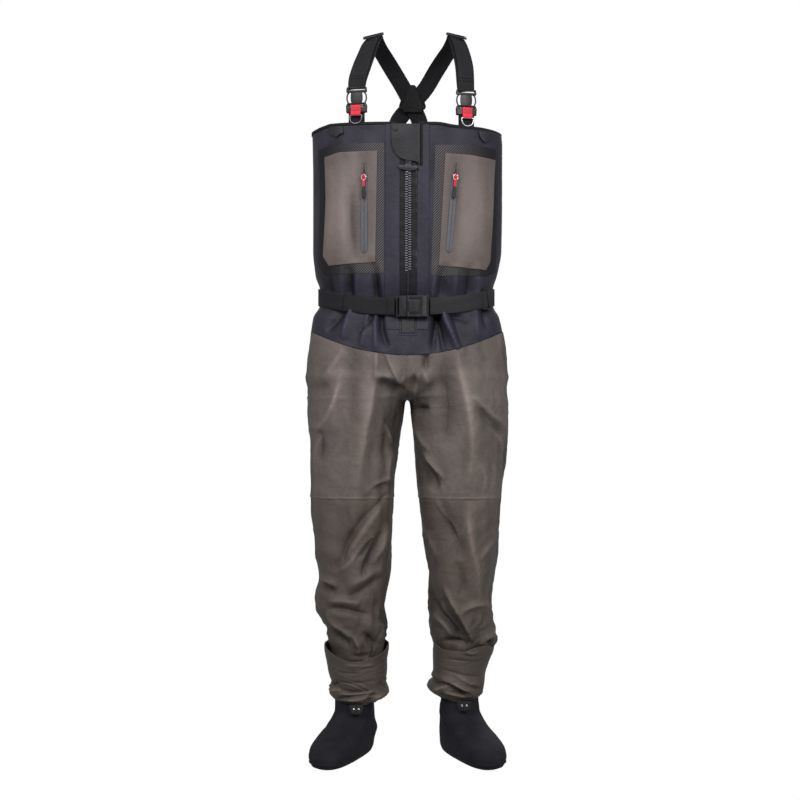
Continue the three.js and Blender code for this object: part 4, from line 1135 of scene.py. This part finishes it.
# Edges run bottom, right, top, left; a zip has its place across at the top and its drift per mm down.
POCKETS = {
    "right": {
        "frame": ([(-195, 1142), (-54, 1143)], [(-54, 1143), (-53, 1446)],
                  [(-210, 1438), (-178, 1445), (-53, 1446)], [(-195, 1142), (-211, 1165), (-210, 1438)]),
        "panel": ([(-184, 1162), (-74, 1168)], [(-74, 1168), (-69, 1428)],
                  [(-195, 1418), (-160, 1427), (-69, 1428)],
                  [(-184, 1162), (-199, 1187), (-193, 1318), (-195, 1418)]),
        "zip": (-100, 0),
    },
    "left": {
        "frame": ([(55, 1137), (185, 1138)], [(185, 1138), (211, 1150), (211, 1438)],
                  [(65, 1441), (150, 1445), (211, 1438)], [(55, 1137), (65, 1441)]),
        "panel": ([(73, 1160), (185, 1152)], [(185, 1152), (197, 1173), (209, 1413)],
                  [(88, 1423), (150, 1420), (209, 1413)], [(73, 1160), (88, 1423)]),
        "zip": (114, -0.083),
    },
}


def pocket_seat(x, drift):
    """Where a pocket zip lies: X across it, -Y out of the pocket, Z up along it."""
    middle, half, depth, off = 1.5, 226.5, 126, 4.2

    def front(at):
        return -(depth + off) * (1 - (abs(at - middle) / (half + off)) ** CHEST) ** (1 / CHEST)

    low = x + drift * POCKET_ZIP_LENGTH
    top = Vector((x, front(x), POCKET_ZIP_TOP))
    up = (top - Vector((low, front(low), POCKET_ZIP_TOP - POCKET_ZIP_LENGTH))).normalized()
    across = Vector((1, (front(x + 1) - front(x - 1)) / 2, 0)).normalized()
    inward = up.cross(across).normalized()
    seat = Matrix((inward.cross(up), inward, up)).transposed().to_4x4()
    seat.translation = top
    return seat


def build_pocket(name, shape):
    x0, drift = shape["zip"]

    def lift(x, z):
        calm = smooth((np.abs(x - (x0 + drift * (POCKET_ZIP_TOP - z))) - 9) / 16)
        return (folded(POCKET_FOLDS, x, z) + 0.8) * calm

    chest_sheet(f"{name}_grip_frame", shape["frame"], 0.3, 1.1, HATCH, step=4,
                replaces=[f"{name}_pocket_frame"])
    made = chest_sheet(f"{name}_pocket_cloth", shape["panel"], 1.1, 3.4, POCKET, lift, step=4, rim=1.6,
                       replaces=[f"{name}_pocket_panel"])
    seat = pocket_seat(x0, drift)
    strip = both_sides([(0, -POCKET_ZIP_LENGTH), (7.6, -206), (7.6, -26), (4.2, -16), (2.4, 0)], 6)
    plate(f"{name}_zip_tape", [strip], 1.4, 0.4, seat @ shift(y=-0.7), STRIP, replaces=[f"{name}_pocket_zip"])
    plate(f"{name}_zip_line", [rectangle(1.0, 176, 0.4, 0, -124)], 0.5, 0.2, seat @ shift(y=-1.35), GRIP,
          slot="strip")
    garage = both_sides([(6.2, -27), (4.4, -8), (2.2, 3)], 3)
    slit = both_sides([(3.2, -26), (1.4, -16), (0.7, -3)], 1)
    plate(f"{name}_zip_garage", [garage, slit], 2.4, 0.8, seat @ shift(y=-1.2), POCKET)
    plate(f"{name}_zip_mouth", [slit], 0.8, 0.3, seat @ shift(y=-1.5), GRIP, slot="strip")
    slider, pull = f"{name}_pocket_slider", f"{name}_pocket_pull"
    arch = both_sides([(4.3, -37.5), (4.3, -30), (2.6, -26)], 2)
    plate(f"{name}_slider_body", [arch], 4.0, 1.0, seat @ shift(y=-3.8), PLASTIC, body=slider, slot="steel",
          replaces=[slider])
    bridge = smooth_line([(0, -5.6, -27.5), (0, -7.8, -29.5), (0, -7.8, -33.5), (0, -5.6, -36)], 14)
    tube(f"{name}_slider_bridge", seated(seat, bridge), 0.9, STEEL, body=slider)
    loop = [(5.4 * math.sin(a) * (1 - 0.12 * math.cos(a)), -7.8, -36.5 + 6.8 * math.cos(a))
            for a in np.linspace(0, 2 * math.pi, 33)[:-1]]
    tube(f"{name}_pull_ring", seated(seat, loop), 1.15, STEEL, closed=True, body=pull, replaces=[pull])
    for i, x in enumerate((-1.5, 1.5)):
        cord = smooth_line([(x * 1.1, -9.6, -32), (x * 1.3, -9.6, -38), (x, -8.8, -46), (x * 0.9, -8.0, -56),
                            (x * 0.8, -7.7, -66)], 24)
        tube(f"{name}_pull_cord_{i}", seated(seat, cord), 1.35, CORD, body=pull)
    knot = smooth_line([(-1.6, -9.6, -32.4), (0, -10.2, -30.4), (1.6, -9.6, -32.4)], 10)
    tube(f"{name}_pull_knot", seated(seat, knot), 1.35, CORD, body=pull)
    grip = both_sides([(2.6, -57), (4.0, -68), (4.2, -84), (0, -87)], 2.6)
    plate(f"{name}_pull_grip", [grip], 3.6, 1.3, seat @ shift(y=-7.8), GRIP, body=pull)


# ---- Main zip, storm flap and rim ---------------------------------------------------------

def strip_edges(x0, x1, z0, z1, lean=0.0):
    return ([(x0, z0), (x1, z0)], [(x1, z0), (x1 + lean, z1)], [(x0 + lean, z1), (x1 + lean, z1)],
            [(x0, z0), (x0 + lean, z1)])


def build_teeth():
    """Both rows of teeth: each tooth is a six-cornered prism, tapered at its front."""
    points, faces = [], []
    shape = [(-3.6, 0), (-3.2, 1.5), (2.6, 1.5), (4.0, 0), (2.6, -1.5), (-3.2, -1.5)]
    for i in range(46):
        z = 1151 + TOOTH_PITCH * i
        for side in (-1, 1):
            centre = on_chest(ZIP_X + side * 3.7, z + side * TOOTH_PITCH / 4, 3.0)
            start = len(points)
            for across, up in shape:
                for deep, size in ((-1.4, 1.0), (1.0, 1.0), (1.9, 0.8)):
                    points.append(centre + [side * -across * size, -deep, up * size])
            for k in range(6):
                a, b = start + 3 * k, start + 3 * ((k + 1) % 6)
                faces += [(a + d, b + d, b + 1 + d, a + 1 + d) for d in (0, 1)]
            faces.append(tuple(start + 3 * k + 2 for k in range(6)))
    teeth = piece("zip_tooth_rows", points, faces, TEETH, replaces=["main_zip_chain"])
    smooth_faces(teeth.data, False)


def build_zip():
    for name, x0, x1 in (("right", -19, -1.7), ("left", 5.7, 23)):
        chest_sheet(f"{name}_coated_tape", strip_edges(x0, x1, 1008, SHEET_TOP), 0.3, 1.3, COATED,
                    lambda x, z: 0.35 * ripple(x, z, 30, 71), step=4, replaces=[f"{name}_zip_tape"])
    for name, x0, x1, lean in (("right", -52, -18, 1), ("left", 22, 50, 2)):
        edges = strip_edges(x0, x1, 1012, SHEET_TOP, lean)
        chest_sheet(f"{name}_zip_facing", edges, 0.3, 1.7, FACING, step=4)
    build_teeth()
    chest_sheet("zip_sealed_end", strip_edges(-2.4, 6.4, 1046, 1150), 1.2, 3.2, COATED, step=2, rim=2)
    chest_sheet("zip_seal_rib", strip_edges(1.0, 3.0, 1048, 1148), 2.9, 4.0, PLASTIC_GREY, step=2, rim=0.8,
                slot="zip")
    for i, x in enumerate((-18.5, 18)):
        chest_sheet(f"zip_end_border_{i}", strip_edges(x, x + 4.5, 1003, 1046), 0.8, 2.4, GRIP, step=3, rim=1)
    chest_sheet("zip_end_box", strip_edges(-14, 18, 1003, 1040), 1.6, 4.2, RUBBER, step=3, rim=1.6,
                replaces=["zip_docking_end"])
    chest_sheet("zip_end_rib", strip_edges(-1, 5, 1012, 1050), 3.0, 4.6, RUBBER, step=2, rim=1.6)
    chest_sheet("zip_end_patch", strip_edges(-18, 22, 998, 1056), 0.5, 1.5, FACING, step=4, slot="rubber")
    refined("main_zip_slider", 0.0009, "main_zip_slider")
    outline = rounded([(-23, -5), (-19, -10.5), (-6, -13), (8, -13.5), (18, -12.5), (23, -7), (19.5, -0.5),
                       (8, -2.5), (5, 3), (-5, 3), (-8, -1.5), (-19, 0.5)], 3.2)
    inset = rounded([(-18, -5), (-15, -8.5), (0, -10.5), (15, -9.8), (18.5, -6.5), (14, -4), (0, -5),
                     (-14, -3)], 2)
    seat = shift(ZIP_X, float(on_chest(ZIP_X, 1399, 0)[1]) - 8.1, 1394)
    handle = "main_zip_handle"
    plate("zip_pull_bar", [outline], 4.2, 1.5, seat, PLASTIC_GREY, body=handle, slot="rubber",
          replaces=[handle])
    plate("zip_pull_inset", [inset], 1.2, 0.5, seat @ shift(y=-2.0), PLASTIC_GREY, body=handle, slot="rubber")


def build_flap():
    def lift(x, z):
        return 1.2 * smooth((z - 1440) / 40) * smooth((10 - x) / 40) + 0.5 * ripple(x, z, 60, 83)

    left = smooth_line([(-29, 1426), (-34.5, 1438), (-37, 1456), (-37, SHEET_TOP)], 20)
    bottom = smooth_line([(-29, 1426), (-24, 1417), (-15, 1409), (2, 1403.5), (20, 1401), (30, 1394)], 30)
    edges = (bottom, [(30, 1394), (30, SHEET_TOP)], [(-37, SHEET_TOP), (30, SHEET_TOP)], left)
    flap = chest_sheet("storm_flap_cloth", edges, 6.8, 8.3, RUBBER, lift, step=3, back=True,
                       body="storm_flap", replaces=["storm_flap"])
    chest_sheet("flap_sewn_edge", strip_edges(30.6, 36, 1393, SHEET_TOP), 1.6, 5.6, RUBBER_DARK, step=3,
                rim=2.5, slot="navy")
    seat = shift(*on_chest(-28, 1478, 10.4)) @ Matrix.Rotation(-0.04, 4, "Z")
    plate("snap_cap", [circle(6.6, 32)], 2.0, 0.9, seat, GRIP, body="storm_flap", slot="plastic",
          replaces=["flap_snap_cap"])
    plate("snap_cap_dimple", [circle(4.9, 32), circle(3.2, 32)], 0.7, 0.3, seat @ shift(y=-1.1), PLASTIC_GREY,
          body="storm_flap")
    refined("flap_snap_socket", 0.0005)


def build_rim():
    ux, uy = unit_ring(360)
    half, depth = 226, 124
    x, y = -1 + (half - 0.6) * ux, (depth - 0.6) * uy
    keep = ~((y < 0) & (x > -21) & (x < 25))
    line = np.stack([x, y, RIM + 1.4 - rim_droop(x, uy)], axis=-1)[keep]
    normals = np.stack([line[:, 0] / half**2, line[:, 1] / depth**2, 0 * line[:, 0]], axis=-1)
    ribbon("rim_bound_edge", line, normals, BINDING, 6.5, 4.6, replaces=["rim_binding"])
    for name, edge, far, low in (("right", -151, -183, 1462), ("left", 168, 202, 1450)):
        top = 1489 - float(row_at(RIM_DROP, (edge + far) / 2)[0])
        tip, turn = (0.55 * edge + 0.45 * far, low), (0.2 * edge + 0.8 * far, low + 6)
        near_side = smooth_line([tip, (0.85 * edge + 0.15 * far, low + 8), (edge, 1470), (edge, top)], 14)
        far_side = smooth_line([turn, (far, 1470), (far, top)], 12)
        if name == "left":
            edges = ([tip, turn], far_side, [(edge, top), (far, top)], near_side)
        else:
            edges = ([turn, tip], near_side, [(far, top), (edge, top)], far_side)

        def rise(x, z):
            return 4.5 * smooth(1 - np.abs(x - edge) / (0.8 * abs(far - edge))) * smooth((1489 - z) / 18)

        chest_sheet(f"{name}_rim_ear", edges, 0.4, 2.2, RUBBER, rise, step=2, back=True,
                    replaces=[f"{name}_rim_tab"])
    for i, (x, z) in enumerate(((188, 1463), (196, 1469))):
        seat = shift(*on_chest(x, z, 4.6)) @ Matrix.Rotation(0.55, 4, "Z")
        plate(f"left_rim_rivet_{i}", [circle(1.5, 14)], 1.4, 0.5, seat, GRIP, slot="plastic")


# ---- Belt ---------------------------------------------------------------------------------

def front_angle(x):
    middle, half, _, _ = torso_at(BELT)
    across = (x - middle) / (half + 2.7)
    return -math.acos(math.copysign(abs(across) ** (CHEST / 2), across))


def belt_line(start, end, off, step=3.0):
    """Points and outward normals along the belt between two angles, at a distance off the shell."""
    angle = np.linspace(start, end, 4000)
    middle, half, depth, drop = torso_at(BELT)
    x = middle + (half + off) * power(np.cos(angle), CHEST)
    y = (depth + off) * power(np.sin(angle), CHEST)
    z = BELT - drop * np.maximum(0, -np.sin(angle)) ** 2
    y = np.where(y < 0, y - 12 * smooth(1 - np.abs(x - ZIP_X) / 90), y)
    dense = np.stack([x, y, z], axis=-1)
    line = walk(dense, np.linspace(0, 1, max(8, int(run_of(dense)[-1] / step))))
    along = np.gradient(line, axis=0)
    normals = unit(np.stack([along[:, 1], -along[:, 0], 0 * along[:, 0]], axis=-1))
    facing = np.sign((normals * line).sum(axis=-1))
    return line, normals * facing[:, None]


def build_belt():
    split = front_angle(-150)
    line, normals = belt_line(front_angle(-28), split, 2.7)
    run = ribbon("belt_run_to_plug", line, normals, WEB, body=None, replaces=["belt_plug_run"])
    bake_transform(run, "garment", "belt_plug", start=to_row(line[-3]), end=to_row(line[4]))
    line, normals = belt_line(front_angle(-29), front_angle(-46), 5.2, 1.5)
    ribbon("belt_fold_at_plug", line, normals, WEB, body="belt_plug")
    line, normals = belt_line(split - 0.004, front_angle(52) - 2 * math.pi, 2.7)
    ribbon("belt_round_waist", line, normals, WEB, replaces=["belt_webbing"])
    line, normals = belt_line(front_angle(52), front_angle(198), 4.9, 1.5)
    over = 3.2 * bell((line[:, :1] - 184) / 4.0)
    # The adjusting layer and free end use the lighter webbing copy, painted light for that side.
    ribbon("belt_adjusting_layer", line + normals * over, normals, WEB_LIT, 39.6, 2.0)
    line, normals = belt_line(front_angle(186), front_angle(200), 8.0, 1.5)
    ribbon("belt_free_end", line, normals, WEB_LIT, 39.4, 1.8)
    refined("belt_adjuster", 0.0009)
    refined("belt_socket", 0.0016)
    refined("belt_plug", 0.0012, "belt_plug")
    cover = [rectangle(49, 49, 3)]
    for x, z, w, h in ((-8, 16.8, 26, 2.6), (-8, -17.6, 26, 2.4), (7.2, 0, 3.8, 42), (22.2, 0, 2.4, 43)):
        cover.append(rectangle(w, h, 0.45 * min(w, h), x, z))
    plate("buckle_cover", cover, 2.6, 0.6, shift(25, -133.4, BUCKLE), PLASTIC)
    plate("buckle_key", [rectangle(25, 27, 3)], 2.2, 0.9, shift(13.5, -134.0, BUCKLE - 0.5), BUCKLE_KEY)
    for name, x, width in (("inner", 14.8, 8.5), ("outer", -22.6, 2.4)):
        plate(f"buckle_bar_{name}", [rectangle(width, 45, 1.1)], 1.6, 0.6, shift(25 + x, -134.3, BUCKLE),
              PLASTIC_GREY)
    loop = smooth_line([(0, 118.5, 1064), (0, 120.5, 1067), (0, 121.8, 1076), (0, 121.8, 1110),
                        (0, 120.5, 1119), (0, 118.5, 1122)], 30)
    ribbon("belt_keeper_loop", loop, [(0, 1, 0)] * 30, WEB, 26, 1.8, replaces=["belt_loop"])
    for i, z in enumerate((1064, 1122)):
        plate(f"belt_keeper_tack_{i}", [rectangle(26, 7, 1)], 1.6, 0.5, shift(0, 118.8, z), WEB)


# ---- Suspenders ---------------------------------------------------------------------------

# Each side: the clip's place and turn, the glide at the crest, the strap's way up in front and down behind.
STRAPS = {
    "left": {
        "clip": (138, -102, 1514), "turn": 0.3, "glide": (117.5, -12, 1716),
        "front": [(137, -93, 1628), (132, -72, 1662), (124, -40, 1697), (117, -4, 1717)],
        "rear": [(115.6, 12, 1717), (107, 42, 1702), (92, 72, 1684), (70, 102, 1654), (46, 121, 1617),
                 (12, 131, 1579), (-22, 133.4, 1538), (-32, 133.4, 1492), (-38, 133.4, 1440)],
    },
    "right": {
        "clip": (-118, -108.4, 1519), "turn": -0.22, "glide": (-79.5, -12, 1716),
        "front": [(-108, -98, 1632), (-99, -77, 1662), (-89, -42, 1696), (-79, -4, 1717)],
        "rear": [(-77.6, 12, 1717), (-68, 42, 1702), (-52, 76, 1682), (-32, 102, 1654), (-10, 117, 1620),
                 (12, 125.2, 1579), (31, 127.4, 1538), (38, 127.4, 1492), (42, 127.4, 1440)],
    },
}


def boxed_stitch(name, seat, width, height, material, **where):
    """A sewn box with a cross in it, as one thread."""
    w, h = width / 2, height / 2
    corners = [(-w, -h), (w, -h), (w, h), (-w, h), (-w, -h), (w, h), (w, -h), (-w, h)]
    line = []
    for a, b in zip(corners, corners[1:]):
        steps = max(4, int(math.dist(a, b) / 1.4))
        for t in np.linspace(0, 1, steps, endpoint=False):
            dip = -0.35 * abs(math.sin(t * steps * 1.57))
            line.append((a[0] + (b[0] - a[0]) * t, dip, a[1] + (b[1] - a[1]) * t))
    tube(name, seated(seat, line), 0.35, material, sides=5, **where)


def build_clip(name, side):
    seat = shift(*STRAPS[name]["clip"]) @ Matrix.Rotation(STRAPS[name]["turn"], 4, "Z")
    plug, ring = f"{name}_clip_plug", f"{name}_d_ring"
    outer = both_sides([(25, -1), (24.6, 8), (25.6, 15), (22, 23)], 3.5)
    plate(f"{name}_socket_frame", [outer, rectangle(37, 5.2, 1.5, 0, 16.2)], 9.6, 2.2, seat, PLASTIC,
          replaces=[f"{name}_clip_socket"])
    plate(f"{name}_socket_bar", [rectangle(38, 3.0, 1.3, 0, 15.8)], 4.4, 1.2, seat @ shift(y=-2.8),
          PLASTIC_GREY)
    bar = both_sides([(24.5, 46.5), (25, 52), (23.5, 60)], 2.5)
    plate(f"{name}_plug_bar", [bar, rectangle(39.5, 4.0, 1.6, 0, 54.6)], 6.2, 1.8, seat, PLASTIC, body=plug,
          replaces=[plug])
    for label, end in (("l", -1), ("r", 1)):
        arm = smooth_line([(end * 17, 0, 48), (end * 21.5, 0, 43), (end * 23.2, 0, 35), (end * 22.0, 0, 27),
                           (end * 18.5, 0, 20), (end * 17, 0, 9)], 30)
        tube(f"{name}_plug_arm_{label}", seated(seat, arm), 1.9, PLASTIC_GREY, body=plug)
    tongue = both_sides([(13, 49), (14.5, 40), (14.5, 28), (11, 20), (9.5, 10)], 3)
    plate(f"{name}_plug_tongue", [tongue], 3.8, 1.2, seat, PLASTIC, body=plug)
    anchor = seated(seat, [(0, 0, z) for z in np.linspace(-80, 8, 40)])
    ribbon(f"{name}_anchor_strap", anchor, seated(seat.to_3x3(), [(0, -1, 0)]) * 40, WEB, 39,
           replaces=[f"{name}_anchor_webbing"])
    bent_ribbon(f"{name}_red_keeper", seat, [(0, -7.2, 17), (0, -7.9, 8), (0, -7.6, 0), (0, -8.2, -5),
                                             (0, -10.8, -7.6), (0, -12.2, -5.0), (0, -10.6, 2)],
                36, RED, 23, 1.3, replaces=[f"{name}_ring_keeper"])
    boxed_stitch(f"{name}_keeper_stitch", seat @ shift(0, -8.8, 8), 17, 8, THREAD)
    half = [(14.0, 0, -1.5), (14.0, 0, -9), (11.6, 0, -15), (6.5, 0, -19.2), (0, 0, -20.4)]
    bow = smooth_line(half + [(-x, y, z) for x, y, z in half[-2::-1]], 48)
    top = [(x, 0, -1.5) for x in np.linspace(-14, 14, 16)[1:-1]]
    tube(f"{name}_ring_wire", seated(seat @ shift(0, -9.9, -6.2), [*bow, *top]), 1.5,
         STEEL if side > 0 else GUNMETAL, closed=True, sides=12, body=ring, replaces=[ring])


def build_straps(name, side):
    strap = STRAPS[name]
    clip, turn, plug = np.array(strap["clip"]), strap["turn"], f"{name}_clip_plug"
    crest = unit(np.array([side * 0.25, -0.12, 1]))
    chest = np.array([math.sin(turn), -math.cos(turn), 0])
    line = smooth_line([clip + [0, 0, 55], clip + [0, 0, 74], *strap["front"], strap["rear"][0]], 96)
    ease = smooth(np.linspace(0, 1, 96))[:, None]
    normals = chest * (1 - ease) + crest * ease
    outer = ribbon(f"{name}_front_webbing", line, normals, WEB, body=None, replaces=[f"{name}_front_strap"])
    aside = np.sin(np.pi * np.linspace(0.04, 1, 96))[:, None] ** 0.7
    under = line + np.array([-side * 6.5, 1.6, 0]) * aside - normals * 2.5
    inner = ribbon(f"{name}_front_webbing_back", under, normals, BINDING, 39, 2.0, body=None)
    for made in (outer, inner):
        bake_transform(made, "garment", plug, start=to_row(line[76]), end=to_row(line[10]))
    for i, up in enumerate((80, 87)):
        seat = shift(*(clip + [0, 0, up])) @ Matrix.Rotation(turn, 4, "Z")
        thread = [(across, -1.35, 0) for across in np.linspace(-18.5, 18.5, 60)]
        tube(f"{name}_strap_stitch_{i}", seated(seat, thread), 0.35, RUBBER_DARK, sides=5, body=plug,
             slot="webbing")

    line = smooth_line(strap["rear"], 150)
    ease = smooth(np.linspace(0, 2.2, 150))[:, None]
    normals = crest * (1 - ease) + np.array([0, 1, 0]) * ease
    ribbon(f"{name}_rear_webbing", line, normals, WEB, replaces=[f"{name}_rear_strap"])
    lean = math.atan2(line[-30][0] - line[-1][0], line[-30][2] - line[-1][2])
    facing_back = Matrix.Rotation(math.pi, 4, "Z") @ Matrix.Rotation(-lean, 4, "Y")
    seat = shift(*(line[-10] + [0, 1.4, 0])) @ facing_back
    boxed_stitch(f"{name}_rear_box_stitch", seat, 30, 26, RUBBER, slot="webbing")

    out = Vector((side * 0.25, -0.4, 1)).normalized()
    lean = Vector((0, 0, 1)).rotation_difference(out).to_matrix().to_4x4()
    glide = Vector(strap["glide"])
    seat = Matrix.Translation(glide + 3.2 * out) @ lean @ Matrix.Rotation(math.pi / 2, 4, "X")
    bars = [rectangle(51, 22.5, 4), rectangle(42, 5.5, 2, 0, -5.6), rectangle(42, 5.5, 2, 0, 5.6)]
    plate(f"{name}_tri_glide", bars, 4.2, 1.4, seat, PLASTIC, replaces=[f"{name}_strap_adjuster"])
    half = [(0, -13.5, -0.8), (0, -8, 0.8), (0, -3.4, 3.6)]
    bent_ribbon(f"{name}_glide_loop", Matrix.Translation(glide + 1.2 * out) @ lean,
                half + [(0, 0, 4.6)] + [(x, -y, z) for x, y, z in half[::-1]], 30, WEB, 38, 1.8)


def build_cross_patch():
    kite = both_sides([(0, -38), (13, -33), (32, -24), (34, -17), (24, 12), (11, 27), (7, 36)], 7)
    plate("strap_cross_plate", [kite], 3.6, 1.2, shift(14, 137.1, 1594), RUBBER_DARK,
          replaces=["cross_patch"])
    front = both_sides([(24, -34), (23, -27), (30, -26), (32, -20), (25, -17), (10, 22), (4, 29)], 5)
    plate("strap_cross_front", [front], 2.4, 0.8, shift(14, 119.4, 1593), RUBBER_DARK)


for label, which in SIDES:
    build_leg(label, which)
    build_guard(label, which)
    build_sock(label, which)
    build_hook(label, which)
    build_pocket(label, POCKETS[label])
    build_clip(label, which)
    build_straps(label, which)
build_bib()
build_zip()
build_flap()
build_rim()
build_belt()
build_cross_patch()


# ---- Floor, light and camera --------------------------------------------------------------

def build_stage():
    """A white floor and a white dome that neither light the waders nor show in them."""
    floor = bpy.data.meshes.new("studio_floor")
    z = -HANG / 1000 - 0.0005
    floor.from_pydata([(-30, -30, z), (30, -30, z), (30, 30, z), (-30, 30, z)], [], [(0, 1, 2, 3)])
    dome = bpy.data.meshes.new("studio_dome")
    work = bmesh.new()
    bmesh.ops.create_uvsphere(work, u_segments=32, v_segments=16, radius=28)
    work.to_mesh(dome)
    work.free()
    paint = shader("studio_white", (5, 5, 5), 0.9, specular=0.0)
    inputs = paint.node_tree.nodes["Principled BSDF"].inputs
    inputs["Emission Color"].default_value = (1, 1, 1, 1)
    inputs["Emission Strength"].default_value = 1
    for name, mesh in (("studio_floor", floor), ("studio_dome", dome)):
        mesh.materials.append(paint)
        made = add(name, mesh)
        made.visible_diffuse = False
        made.visible_glossy = False
        made.visible_shadow = False


def add_lamp(name, place_at, height, power_watts):
    """A soft lamp turned to the middle of the waders; places and sizes in metres."""
    lamp = bpy.data.lights.new(name, "AREA")
    lamp.shape = "RECTANGLE"
    lamp.size, lamp.size_y = 1.2, height
    lamp.energy = power_watts
    made = add(name, lamp)
    made.location = place_at
    made.rotation_euler = (Vector((0, 0, -0.8)) - Vector(place_at)).to_track_quat("-Z", "Y").to_euler()


def build_light():
    """A dim even room, two large soft lamps in front and one behind."""
    world = bpy.data.worlds.new("studio")
    world.use_nodes = True
    inputs = world.node_tree.nodes["Background"].inputs
    inputs["Color"].default_value = (1, 1, 1, 1)
    inputs["Strength"].default_value = 0.42
    bpy.context.scene.world = world
    add_lamp("key", (-1.5, -3.2, 1.7), 1.6, 95)
    add_lamp("fill", (1.7, -3.2, 0.9), 1.8, 72)
    add_lamp("back", (0.6, 3.6, 1.0), 1.8, 60)


def build_camera():
    camera = add("camera", bpy.data.cameras.new("camera"))
    camera.data.lens = 75
    camera.data.sensor_width = 36
    camera.location = (-0.0168, -4.0, -0.868)
    camera.rotation_euler = (math.pi / 2, 0, 0)
    bpy.context.scene.camera = camera


build_stage()
build_light()
build_camera()
bpy.context.scene.view_settings.view_transform = "Standard"
